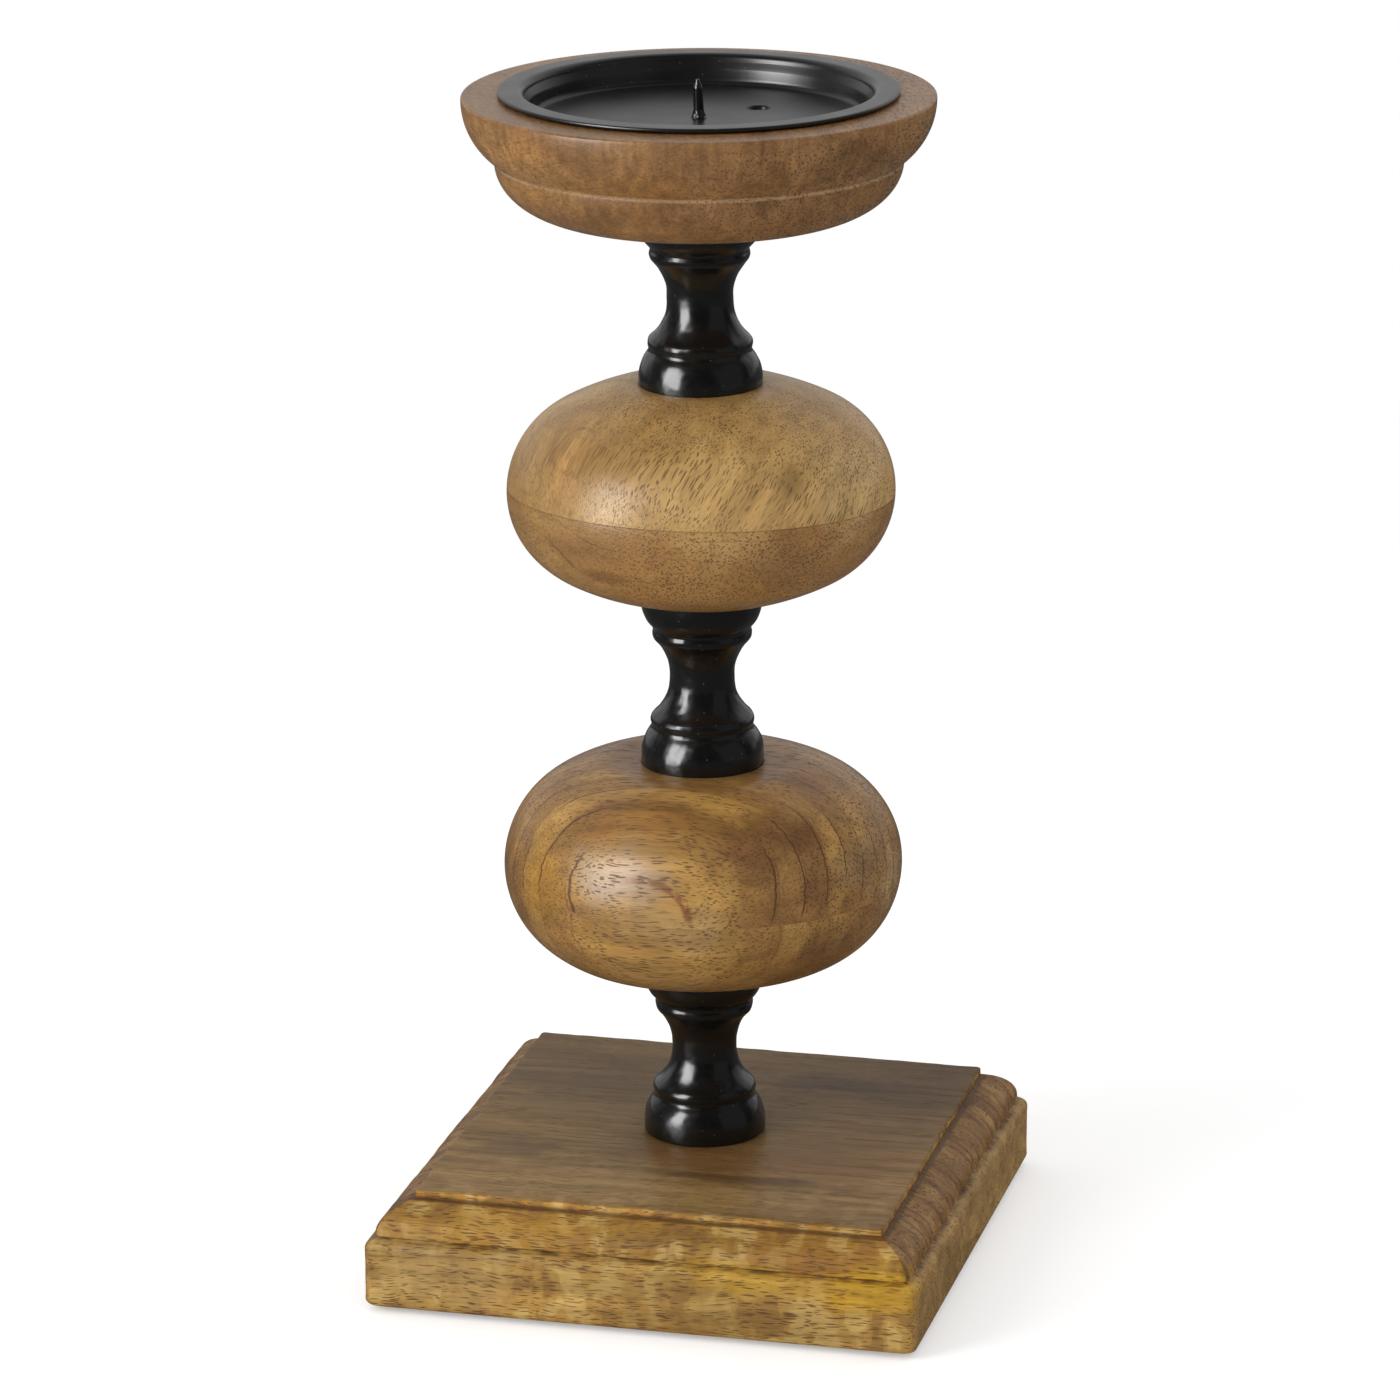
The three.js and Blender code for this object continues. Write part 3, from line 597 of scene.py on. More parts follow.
class Finish:
    """A node tree of a material or of the world, and the colour that is laid on it in turn."""

    def __init__(self, name, world=False, **shader):
        self.owner = (bpy.data.worlds if world else bpy.data.materials).new(name)
        self.owner.use_nodes = True
        self.tree = self.owner.node_tree
        self.shader = self.tree.nodes["Background" if world else "Principled BSDF"]
        for socket, value in shader.items():
            self.shader.inputs[socket.replace("_", " ")].default_value = value
        self.tone = None

    def node(self, kind, settings=None, inputs=None, output=0):
        """Add a node: first its settings, then the values or wires of its sockets; give one output."""
        made = self.tree.nodes.new("ShaderNode" + kind)
        for key, value in (settings or {}).items():
            setattr(made, key, value)
        for key, value in (inputs or {}).items():
            if isinstance(value, Wire):
                self.tree.links.new(value.socket, made.inputs[key])
            else:
                made.inputs[key].default_value = value
        return Wire(self, made.outputs[output])

    def feed(self, socket, wire):
        """Lead a wire to one of the shader's sockets."""
        self.tree.links.new(wire.socket, self.shader.inputs[socket])

    def vector(self, operation, *inputs, output=0):
        return self.node("VectorMath", {"operation": operation}, dict(enumerate(inputs)), output)

    def scaled(self, vector, *factors):
        return self.vector("MULTIPLY", vector, factors)

    def split(self, vector):
        """The three numbers of a vector."""
        outputs = self.node("SeparateXYZ", inputs={0: vector}).socket.node.outputs
        return [Wire(self, outputs[i]) for i in range(3)]

    @cached_property
    def place(self):
        """The piece's own coordinates, in metres."""
        return self.node("TexCoord", output="Object")

    @cached_property
    def place_mm(self):
        """The piece's own coordinates, in millimetres."""
        return self.scaled(self.place, 1 / MM, 1 / MM, 1 / MM)

    def along(self, direction, centre=(0, 0, 0)):
        """How far a place is from a centre along a direction, in millimetres."""
        away = self.vector("SUBTRACT", self.place, tuple(centre))
        return self.vector("DOT_PRODUCT", away, tuple(direction), output="Value") / MM

    def texture(self, kind, size, over=None, output=0, **inputs):
        """A texture with features size millimetres apart: one number, or one for each axis."""
        sizes = size if isinstance(size, tuple) else (size, size, size)
        place = self.scaled(over or self.place_mm, *(1 / s for s in sizes))
        return self.node("Tex" + kind, {}, {"Vector": place, "Scale": 1.0, **inputs}, output)

    def noise(self, size, detail=2.0, over=None, output=0):
        return self.texture("Noise", size, over, output, Detail=detail)

    def drift(self, size, detail, over=None):
        """Noise of three numbers, each about -0.5 to 0.5."""
        return self.vector("SUBTRACT", self.noise(size, detail, over, "Color"), (0.5, 0.5, 0.5))

    def specks(self, spacing, outer, inner):
        """Round specks, one in each cell of the spacing, with soft edges."""
        return self.texture("Voronoi", spacing, output="Distance").rise(outer, inner)

    def mixed(self, share, first, second):
        """Blend two colours, each a wire or three numbers."""
        first, second = (rgb if isinstance(rgb, Wire) else (*rgb, 1.0) for rgb in (first, second))
        return self.node("Mix", {"data_type": "RGBA"}, {0: share, 6: first, 7: second}, 2)

    def lay(self, share, rgb, factor=1):
        """Blend a colour, made lighter or darker by a factor, into the tone."""
        self.tone = self.mixed(share, self.tone, times(rgb, factor))

    def vary(self, pattern, rgb, low, high):
        """Make the tone one colour, darker and lighter by a pattern."""
        self.tone = self.mixed(pattern, times(rgb, low), times(rgb, high))

    def shade(self, factor):
        """Multiply the tone by a factor."""
        inputs = {0: self.tone, "Scale": factor}
        self.tone = self.node("VectorMath", {"operation": "SCALE"}, inputs)

    def coated(self, rough, height, depth, strength=0.5):
        """Feed the tone and the roughness, and let a height of 0 to 1 stand depth metres out."""
        self.feed("Base Color", self.tone)
        if rough:
            self.feed("Roughness", rough)
        bump = {"Strength": strength, "Distance": depth, "Height": height}
        self.feed("Normal", self.node("Bump", {}, bump))
        return self.owner


def times(rgb, factor):
    """A colour made lighter or darker."""
    return tuple(min(c * factor, 1) for c in rgb)


# The camera's directions, along which the photograph's grain and marks are given

def camera_axes():
    """The camera's right, up and backward directions, before its roll."""
    turn, lift = values("studio").azimuth, values("studio").elevation
    back = Vector((math.sin(turn) * math.cos(lift), -math.cos(turn) * math.cos(lift), math.sin(lift)))
    right = Vector((math.cos(turn), math.sin(turn), 0))
    return right, back.cross(right), back


def beside(right, away, up):
    """A place given as the camera sees it: to the right, level away from it, and up."""
    turn = values("studio").azimuth
    across = right * math.cos(turn) - away * math.sin(turn)
    return Vector((across, right * math.sin(turn) + away * math.cos(turn), up))


def seen(right, away, up):
    """A direction given as the camera sees it, with a length of 1."""
    return beside(right, away, up).normalized()


def grain(along, towards):
    """Turn whose X axis runs along the grain and whose Y axis runs across the rings."""
    along = along.normalized()
    across = (towards - along * towards.dot(along)).normalized()
    return Matrix((along, across, along.cross(across))).transposed()


# Wood

class Wood(Finish):
    """Mango wood: solid patterns in grain coordinates, x along the grain, y and z across it, in mm."""

    def turned(self, centre, turn):
        """Coordinates in millimetres from a centre, along the axes of a turn."""
        inputs = {"Vector": self.place, "Location": centre}
        inputs.update({"Rotation": turn.to_euler(), "Scale": (MM, MM, MM)})
        return self.node("Mapping", {"vector_type": "TEXTURE"}, inputs)

    def lie(self, centre, turn, pith, ring, shift, bend, flatten, other=None, split=None):
        """Work out the grain coordinates and the rings.

        turn gives the grain's axes. pith is the distance in millimetres from the centre to the pith
        across the rings, ring the spacing of the rings, shift moves them by a share of that spacing,
        bend is how far the rings wander, and flatten makes them wider than high. Where split is 1,
        the grain lies along the other turn.
        """
        q = self.turned(centre, turn)
        if other:
            inputs = {0: split, 4: q, 5: self.turned(centre, other)}
            q = self.node("Mix", {"data_type": "VECTOR"}, inputs, 1)
        self.flat = q
        wander = self.drift((70, 30, 30), 1.0, q)
        ripple = self.scaled(self.drift((9, 12, 12), 1.0, q), 0, 1.8, 1.8)
        self.wavy = self.vector("ADD", self.vector("ADD", q, self.scaled(wander, 0, 6, 6)), ripple)
        x, y, z = self.split(self.vector("ADD", q, self.scaled(wander, 0, 2 * bend, 2 * bend)))
        rise = y - pith
        radius = (rise * rise + z * z * flatten + x * x * 0.002).alone("SQRT")
        self.phase = radius / ring + (self.noise((6, 2.2, 2.2), 2, q) - 0.5) * 0.16 + shift

    def ring_tone(self):
        """A tone of its own for each year, that turns into the next one's at the year's end."""
        year = self.phase.alone("FLOOR")
        settings = {"noise_dimensions": "1D"}
        tones = [self.node("TexWhiteNoise", settings, {"W": year + i}) for i in (0, 1)]
        turn = self.phase.alone("FRACT").rise(0.75, 1)
        return tones[0] * (1 - turn) + tones[1] * turn

    def ring_lines(self, width=0.035):
        """Thin dark lines where the years end, some of them double, broken by patches."""
        late = self.phase.alone("FRACT")
        line = late.rise(1 - 2.2 * width, 1 - width) * late.rise(1, 1 - 0.4 * width)
        twin = abs(late - 0.86).rise(0.6 * width, 0.15 * width) * 0.6
        patchy = self.noise((34, 14, 14), 2, self.flat)
        return line * patchy.rise(0.36, 0.56) + twin * patchy.rise(0.48, 0.6)

    def dashes(self, width, long, radius):
        """Pores cut along the grain: stretched cells, each with a thin core."""
        near = self.texture("Voronoi", (long, width, width), self.wavy, "Distance")
        random = self.split(Wire(self, near.socket.node.outputs["Color"]))[0]
        core = random * radius * 0.45 + radius * 0.7
        crowd = self.noise((30, 9, 9), 1.5, self.flat).rise(0.25, 0.6)
        return (near / core).rise(1.2, 0.7) * random.rise(0.1, 0.14) * (crowd * 0.45 + 0.55)

    def pores(self, width=0.6, long=6.5, radius=0.36, cross=0):
        """Dark pores: dashes along the grain, and round dots as far as it is cut across, 0 to 1."""
        dots = self.dashes(width * 1.5, 80, radius * 0.95)
        return self.dashes(width, long, radius) * (1 - cross) + dots * cross

    def cut_across(self, reach, start=0.5, full=0.8):
        """0 to 1: how far a ball's surface is cut across the grain, which it is at the grain's ends."""
        return abs(self.split(self.flat)[0] / reach).rise(start, full)

    def fibres(self):
        """Fine streaks along the grain, about 0 to 1."""
        return self.noise((16, 0.9, 0.9), 3, self.wavy)

    def mottle(self, size=26):
        """Clouds of lighter and darker wood, about 0 to 1."""
        return self.noise((2 * size, size, size), 4, self.flat)

    def lay_stains_and_painted_light(self, origin, patches, as_seen=True):
        """Lay soft patches on the tone.

        Each is (place, reach, colour, strength), with its place in millimetres from the origin, along
        the camera's directions or else along the axes. It fades from there out to its reach along
        each axis, with an edge that a noise makes ragged.
        """
        ragged = self.scaled(self.drift(13, 3), 1.4, 1.4, 1.4)
        for place, size, rgb, strength in patches:
            sizes = size if isinstance(size, tuple) else (size, size, size)
            centre = (beside(*place) if as_seen else Vector(place)) + origin / MM
            away = self.vector("SUBTRACT", self.place_mm, tuple(centre))
            away = self.scaled(away, *(1 / s for s in sizes))
            far = self.vector("DISTANCE", self.vector("ADD", away, ragged), (0, 0, 0), output="Value")
            self.lay(far.rise(1.15, 0.35) * strength, rgb)

    def worked(self, pores, lines, rough=0.31, relief=0, streaky=1.0, hairs=0.4):
        """Shade the tone with fibres, streaks, pores and ring lines, and give it gloss and bump."""
        dark = values("finishes").pore
        fibre = self.fibres()
        streaks = self.noise((75, 5, 5), 3, self.wavy)
        self.shade((fibre * 0.9 + 0.55) * ((streaks - 0.5) * streaky + 1))
        self.lay(fibre.rise(0.57, 0.72) * hairs, dark)
        self.lay(lines * 0.7, dark)
        self.lay(pores * 0.8, dark)
        gloss = fibre * 0.16 + (rough - 0.08) + pores * 0.2
        return self.coated(gloss, fibre * 0.3 - pores + relief, 0.0001, 0.55)


# Stains of the upper ball: place, reach, colour and strength
UPPER_BALL_STAINS = (
    ((-36, -36, 16), 17, (0.372, 0.194, 0.058), 0.5),
    ((0, -50, 8), 24, (0.512, 0.324, 0.121), 0.5),
    ((25, -48, 14), 7, (0.2, 0.12, 0.035), 0.6),
    ((44, -34, 8), 18, (0.5, 0.34, 0.15), 0.6),
    ((-58, -30, 4), (26, 34, 34), (0.33, 0.19, 0.065), 0.6),
    ((-34, -42, -7), (18, 18, 6), (0.2, 0.1, 0.04), 0.6),
    ((-28, -46, -15), (9, 9, 3), (0.14, 0.065, 0.02), 0.6),
    ((22, -48, -9), 14, (0.177, 0.095, 0.035), 0.45),
    ((4, -46, -20), 14, (0.307, 0.171, 0.062), 0.5),
    ((0, 4, 33), 30, (0.353, 0.203, 0.082), 0.25),
)


def upper_ball_wood(centre):
    """Honey-coloured board over a browner one, glued near the equator."""
    colours = values("finishes")
    wood = Wood("honey_mango_wood", IOR=1.36)
    offset = wood.along(seen(0.02, 0.035, 1.0), centre)
    below = offset.rise(0.08, -0.08)
    upper = grain(seen(0.48, 0.5, 0.72), seen(-0.7, -0.5, 0.5))
    lower = grain(seen(0.14, -0.97, -0.1), Vector((0, 0, 1)))
    wood.lie(centre, upper, 75, 9, 0.2, 9, 0.5, lower, below)
    across = wood.cut_across(58)
    cloud = wood.mottle().rise(0.22, 0.78) * (across * -0.5 + 1)
    wood.tone = wood.mixed(cloud, colours.upper_light, colours.upper_dark)
    wood.lay(below, colours.upper_board)
    sideways = wood.along(camera_axes()[0], centre)
    left = sideways.rise(-18, -36)
    wood.lay(wood.ring_tone() * (below * 0.2 + left * 0.35 + 0.15), colours.upper_dark, 0.75)
    wood.lay_stains_and_painted_light(centre, UPPER_BALL_STAINS)
    glue = abs(offset + 0.1).rise(0.3, 0.08)
    lines = wood.ring_lines() * (below * 0.35 + left * 0.3 + 0.1) + glue * 0.5
    # Painted shade: the ball's far left edge, as the camera sees it, is darkened.
    wood.lay(sideways.rise(-44, -58) * 0.3, (0.16, 0.08, 0.03))
    pores = wood.pores(0.58, 8, 0.38, across) * (left * -0.3 + 0.9)
    return wood.worked(pores, lines, streaky=across * -0.5 + 0.85, hairs=across * -0.3 + 0.45)


# Stains of the lower ball, with painted shade at its left edge and a painted highlight tint: place, reach,
# colour and strength
LOWER_BALL_STAINS_AND_PAINTED_LIGHT = (
    ((-50, -38, 6), (12, 26, 16), (0.36, 0.18, 0.025), 0.65),
    # Painted shade: a dark patch on the ball's far left edge.
    ((-62, -18, -2), (16, 30, 24), (0.15, 0.07, 0.024), 0.7),
    ((16, -46, 20), (26, 22, 9), (0.125, 0.05, 0.018), 0.75),
    ((30, -46, 10), (11, 22, 12), (0.15, 0.065, 0.024), 0.55),
    # Painted highlight tint: a greyer, paler patch where the key light's highlight falls, which makes the
    # highlight look whiter.
    ((-24, -50, 13), (20, 20, 11), (0.33, 0.235, 0.15), 0.65),
    ((-8, -60, -2), (20, 20, 9), (0.45, 0.3, 0.13), 0.45),
    ((-20, -46, 24), (20, 16, 9), (0.36, 0.18, 0.045), 0.5),
    ((62, -26, 2), (13, 30, 16), (0.34, 0.235, 0.12), 0.7),
    ((46, -40, 12), (8, 22, 9), (0.22, 0.15, 0.075), 0.5),
    ((-16, -44, -20), (30, 22, 11), (0.3, 0.18, 0.065), 0.7),
    ((34, -40, -16), (26, 22, 12), (0.16, 0.078, 0.027), 0.7),
    ((0, 0, 34), 34, (0.17, 0.085, 0.032), 0.5),
)


def lower_ball_wood(centre):
    """Yellow-brown board whose rings close in ovals towards the front left, over a paler board."""
    colours = values("finishes")
    wood = Wood("ringed_mango_wood", IOR=1.36)
    along = seen(0.96, -0.28, 0.03)
    upper = grain(along, seen(-0.28, -0.92, 0.34))
    lower = grain(along, seen(-0.3, -0.94, -0.12))
    below = (wood.along(seen(0.02, 0, 1), centre) + 1).rise(0.1, -0.1)
    wood.lie(centre, upper, -70, 6.5, 0.785, 2.4, 1.0, lower, below)
    wood.tone = wood.mixed(wood.mottle().rise(0.35, 0.65), colours.lower_light, colours.lower_dark)
    wood.lay(wood.ring_tone().rise(0.2, 0.9) * 0.6, colours.lower_dark)
    wood.lay_stains_and_painted_light(centre, LOWER_BALL_STAINS_AND_PAINTED_LIGHT)
    wood.lay(below * 0.2, colours.lower_dark, 0.75)
    wood.lay(comma_mark(wood, centre), (0.2, 0.065, 0.02))
    x, _, z = wood.split(wood.flat)
    out = ((x - 5) * (x - 5) + z * z).alone("SQRT").rise(23, 30)
    lines = wood.ring_lines(0.045) * out * (1 - below * 0.6) * 1.3
    return wood.worked(wood.pores(0.6, 7, 0.36, wood.cut_across(58, 0.55, 0.8)), lines, hairs=0.5)


def comma_mark(wood, centre):
    """A reddish streak bent like a comma: part of a ring round a place at the ball's front."""
    across, rise, near = (wood.along(axis, centre) for axis in camera_axes())
    across = across + 20
    rise = rise + 17
    ring = ((across / 15.5) ** 2 + (rise / 13) ** 2).alone("SQRT")
    band = abs(ring - 1).rise(0.12, 0.03) * wood.noise(3.5).rise(0.3, 0.5)
    return band * across.rise(-8, 1) * rise.rise(-1, 1.5) * near.rise(30, 40) * 0.75


# Stains of the cup: place, reach, colour and strength
CUP_STAINS = (
    ((-50, -40, 2), (26, 30, 16), (0.357, 0.182, 0.055), 0.6),
    ((-18, -64, 0), (20, 20, 12), (0.255, 0.113, 0.029), 0.5),
    ((18, -66, 4), 12, (0.128, 0.058, 0.017), 0.5),
    ((44, -50, 8), (16, 20, 8), (0.102, 0.051, 0.017), 0.55),
    ((-30, -52, -10), 8, (0.128, 0.062, 0.019), 0.5),
    ((50, -36, -10), (16, 20, 8), (0.255, 0.131, 0.036), 0.5),
)


def cup_wood(centre):
    """Mottled brown wood whose grain runs away from the camera, so that its pores show as dots."""
    colours = values("finishes")
    wood = Wood("cup_mango_wood", IOR=1.36)
    wood.lie(centre, grain(seen(-0.2, 0.97, 0.08), seen(0.2, 0, 1)), -60, 9, 0, 7, 1.0)
    cloud = wood.mottle(15).rise(0.25, 0.75) * 0.6 + 0.15
    wood.tone = wood.mixed(cloud, colours.cup_light, colours.cup_dark)
    wood.lay(wood.ring_tone() * 0.3, colours.cup_dark)
    wood.lay_stains_and_painted_light(centre, CUP_STAINS)
    wood.shade(wood.noise((2.4, 2.4, 60), 3) * 1.1 + 0.45)
    height = wood.split(wood.place_mm)[2] - (top("cup") - values("cup").band) / MM
    # Painted highlight: a light tan line just below the band's step, broken by noise, stands in for the
    # light that the bowl's rounded top edge catches.
    highlight_breaks = wood.noise((9, 9, 1), 2).rise(0.2, 0.42)
    painted_step_highlight = (height + 1.1).rise(-0.6, 0) * (height + 1.1).rise(1.2, 0.5) * highlight_breaks
    wood.lay(painted_step_highlight * 0.75, (0.46, 0.3, 0.17))
    # Painted shade: the bowl under the band's step is darkened.
    wood.lay(height.rise(0, -0.8) * 0.22, colours.cup_dark, 0.8)
    right = wood.along(camera_axes()[0]).rise(-30, 30)
    rim = height.rise(14, 18)
    pores = wood.pores(0.62, 5, 0.44, 1 - rim) * (right * 0.6 + 0.4) * (1 - rim * 0.5)
    return wood.worked(pores, wood.ring_lines() * 0.4, streaky=0.6, hairs=0.15)


# Stains of the base: place, reach, colour and strength
BASE_STAINS = (
    ((72, -86, 20), (26, 16, 9), (0.494, 0.275, 0.018), 0.75),
    ((30, -86, 20), (26, 16, 7), (0.475, 0.275, 0.03), 0.6),
    ((-62, -86, 12), (28, 16, 14), (0.399, 0.258, 0.096), 0.6),
    ((14, -86, 4), (34, 16, 7), (0.285, 0.155, 0.042), 0.5),
    ((-45, -82, 27), (40, 10, 7), (0.38, 0.198, 0.03), 0.6),
    ((52, -80, 27), (24, 10, 7), (0.323, 0.146, 0.03), 0.6),
    ((29, 46, 34), (34, 9, 6), (0.06, 0.036, 0.018), 0.8),
    ((-40, 30, 34), (46, 26, 6), (0.13, 0.082, 0.042), 0.6),
    ((-20, -56, 34), (60, 14, 6), (0.30, 0.185, 0.062), 0.7),
    ((4, -24, 34), (34, 18, 6), (0.15, 0.07, 0.024), 0.6),
    ((46, -14, 34), (26, 34, 6), (0.19, 0.095, 0.03), 0.7),
    ((24, -42, 34), (34, 5, 6), (0.075, 0.036, 0.014), 0.7),
    ((-52, -30, 34), (16, 9, 6), (0.10, 0.055, 0.025), 0.6),
    ((60, 44, 34), (20, 34, 6), (0.12, 0.06, 0.022), 0.7),
)


def base_wood(centre):
    """Grey-brown field, ochre moulding, yellow front and duller ends, with dark lines in the steps."""
    colours = values("finishes")
    sizes = values("base")
    wood = Wood("base_mango_wood", IOR=1.2)
    wood.lie(centre, grain(Vector((1, 0.03, 0.02)), Vector((0, 0.25, 1))), 90, 8, 0, 7, 0.4)
    x, y, z = wood.split(wood.place_mm)
    block = (top("base_block") - foot("base_block")) / MM
    height = z - foot("base_block") / MM
    half = x.joined("MAXIMUM", abs(x), abs(y))
    ovolo_top = block - sizes.field_step / MM
    quirk = (sizes.side + sizes.quirk_height / 2) / MM
    on_field = height.rise(block - 0.7, block - 0.25)
    low = height.rise(quirk + 0.4, quirk - 0.4)
    end = (abs(x) - abs(y)).rise(-0.5, 0.5)
    front = wood.mixed(low, colours.moulding, colours.side)
    ends = wood.mixed(low, colours.end_moulding, colours.end)
    ends = wood.mixed(x.rise(20, -20), ends, times(colours.end_moulding, 0.9))
    wood.tone = wood.mixed(end, front, ends)
    # Painted highlight: the upright face of the step round the field gets the wood's colour made a
    # brighter orange, which stands in for the light it catches from the front.
    lit_step_face = height.rise(ovolo_top + 0.2, ovolo_top + 0.7) * (1 - on_field) * half.rise(74.5, 73.6)
    wood.lay(lit_step_face * 0.8, colours.step)
    curl = wood.noise((8, 11, 11), 2.5, wood.wavy)
    wood.lay(curl.rise(0.5, 0.6) * (1 - end * 0.7) * 0.7, (0.66, 0.45, 0.15))
    wood.lay(curl.rise(0.47, 0.38) * (1 - end * 0.7) * 0.65, (0.25, 0.125, 0.04))
    wood.lay(on_field, colours.field)
    band = wood.noise((50, 4.6, 4.6), 3, wood.wavy)
    wood.lay(band.rise(0.5, 0.7) * on_field * 0.4, (0.13, 0.062, 0.022))
    wood.lay(band.rise(0.47, 0.32) * on_field * 0.5, (0.34, 0.21, 0.09))
    wood.lay(curl.rise(0.5, 0.6) * y.rise(-15, -60) * on_field * 0.35, (0.42, 0.27, 0.11))
    wood.lay(wood.mottle(24).rise(0.35, 0.75) * 0.35, colours.field, 0.7)
    wood.lay(wood.ring_tone() * 0.3, colours.field, 0.55)
    wood.lay_stains_and_painted_light(Vector((0, 0, foot("base_block"))), BASE_STAINS, as_seen=False)
    # Painted shade: ragged dark lines in the quirk under the ovolo and at the foot of the field's step,
    # where shade falls.
    ragged = (wood.fibres() + wood.noise(7, 2)).rise(0.85, 1.15)
    painted_crease_shade = abs(height - quirk).rise(0.9, 0.2) * ragged * 0.85
    painted_crease_shade = painted_crease_shade + abs(height - ovolo_top).rise(0.9, 0.2) * abs(half - 73.2).rise(1.6, 0.5) * 0.75
    wood.lay(painted_crease_shade.capped(), (0.07, 0.03, 0.012))
    strokes = wood.noise((30, 3, 30), 2)
    cut = end * (1 - on_field)
    wood.lay(strokes.rise(0.48, 0.6) * cut * height.rise(quirk, quirk + 1) * 0.7, (0.12, 0.055, 0.022))
    wood.lay(y.rise(-30, 60) * on_field * 0.6, (0.09, 0.055, 0.026))
    pores = wood.pores(cross=end) * (1 - on_field * 0.4)
    return wood.worked(pores, wood.ring_lines() * 0.5, 0.36, strokes * cut * 1.6)


# Enamel, paint, metal and felt

def enamel(name):
    """Thick black enamel: glossy, with orange peel and a few tiny specks."""
    colours = values("finishes")
    finish = Finish(name, IOR=1.52)
    peel = finish.noise(1.6, 2)
    speck = finish.specks(3, 0.075, 0.04)
    finish.vary(peel, colours.enamel, 0.8, 1.2)
    finish.lay(speck * 0.3, colours.dust)
    return finish.coated(peel * 0.12 + 0.16, peel * 0.35 + speck, 0.00004)


def pan_paint(name, rough=0.31):
    """Satin black paint on steel, a little dusty."""
    colours = values("finishes")
    finish = Finish(name, IOR=1.58)
    cloud = finish.noise(14, 4)
    grit = finish.noise(0.7, 2)
    dust = finish.specks(2.6, 0.085, 0.05)
    finish.vary(cloud, colours.pan, 0.8, 1.25)
    finish.lay(dust * 0.35, colours.dust)
    return finish.coated(cloud * 0.16 + grit * 0.06 + (rough - 0.11), grit * 0.3 + dust, 0.00003)


def screw_finish_painted_glint():
    """Black oxide, rubbed through to the steel in places."""
    finish = Finish("screw_oxide_painted_glint", Metallic=0.3)
    cloud = finish.noise(1.1, 3).rise(0.35, 0.6)
    finish.vary(cloud, values("finishes").screw, 0.25, 1)
    return finish.coated(cloud * 0.15 + 0.38, cloud, 0.00002)


def zinc_plating():
    """Zinc with a mottled, slightly brushed shine."""
    finish = Finish("zinc_plating", Metallic=1.0)
    cloud = finish.noise(2.5, 4)
    finish.vary(cloud, values("finishes").zinc, 0.75, 1)
    return finish.coated(cloud * 0.25 + 0.25, cloud, 0.00002)


def felt_cloth():
    """Dark pressed felt."""
    finish = Finish("dark_felt", Roughness=0.95, Sheen_Weight=0.3)
    fuzz = finish.noise(0.4, 4)
    finish.vary(fuzz, values("finishes").felt, 0.6, 1.5)
    return finish.coated(None, fuzz, 0.0002, 0.8)


# Spools

def spool_half(sizes, bell, groove, bead):
    """A spool's outline from one end to its waist: bell ellipse, groove, bead ellipse and round cove."""

    def bulge(widest, out, centre, half, start, end, steps):
        angles = [math.asin((height - centre) / half) for height in (start, end)]
        return arc((widest - out, centre), (out, half), *angles, steps)

    bell_arc = bulge(bell, sizes.bell_bulge, sizes.bell_centre, sizes.bell_half, 0, sizes.bell_top, 40)
    bead_arc = bulge(bead, sizes.bead_bulge, sizes.bead_centre, sizes.bead_half,
                     sizes.bead_foot, sizes.bead_top, 30)
    rise = sizes.cove_top - bead_arc[-1, 1]
    width = bead_arc[-1, 0] - sizes.waist
    radius = (rise ** 2 + width ** 2) / (2 * width)
    cove_from = math.pi + math.asin(rise / radius)
    cove = arc((sizes.waist + radius, sizes.cove_top), radius, cove_from, math.pi, 40)
    return np.vstack([bell_arc, [[groove, sizes.groove]], bead_arc, cove[1:]])


def make_spools():
    """Make the three black enamelled spools, whose enamel stands out and sinks in by smooth noise"""
    sizes = values("spool")
    bore = values("hardware").bore
    for seed, node in enumerate(("lower_spool", "middle_spool", "upper_spool")):
        height = top(node) - foot(node)
        lower = spool_half(sizes, reach(node), sizes.groove_radius[0], sizes.bead_radius[0])
        upper = spool_half(sizes, sizes.top_bell, sizes.groove_radius[1], sizes.bead_radius[1])[::-1]
        upper[:, 1] = height - upper[:, 1]
        outline = np.vstack([[[bore, 0]], lower, upper, [[bore, height]]])
        grid = lathed("spool", outline)
        from_end = np.minimum(grid[..., 2], height - grid[..., 2])
        outside = smooth(0.0, 1.2 * MM, from_end)
        outside *= smooth(bore * 1.05, bore * 1.5, from_axis(grid))
        grid[..., 2] += foot(node)
        lumps = layered(grid, 10 * seed + 3, ENAMEL_LUMPS)
        grid += outward(grid, True) * ((lumps - 1) * outside * sizes.lump_depth)[..., None]
        add_body("enamelled_" + node, node, "black_enamel", grid, True, enamel("black_enamel_" + node))


# Balls

def ball_half(radius, equator, pole, flat, blend):
    """A ball's outline from its equator, at height 0, up to a flat spot: three arcs that are tangent."""
    out = radius - equator
    crown = (out ** 2 + pole ** 2 - equator ** 2) / (2 * (pole - equator))
    centre = pole - crown
    join = math.atan2(-centre, out)
    blend_centre = centre + math.sqrt((crown - blend) ** 2 - flat ** 2)
    blend_from = math.atan2(blend_centre - centre, flat)
    return np.vstack([
        arc((out, 0), equator, 0, join, 60),
        arc((0, centre), crown, join, blend_from, 60)[1:],
        arc((flat, blend_centre), blend, blend_from, QUARTER, 20)[1:],
    ])


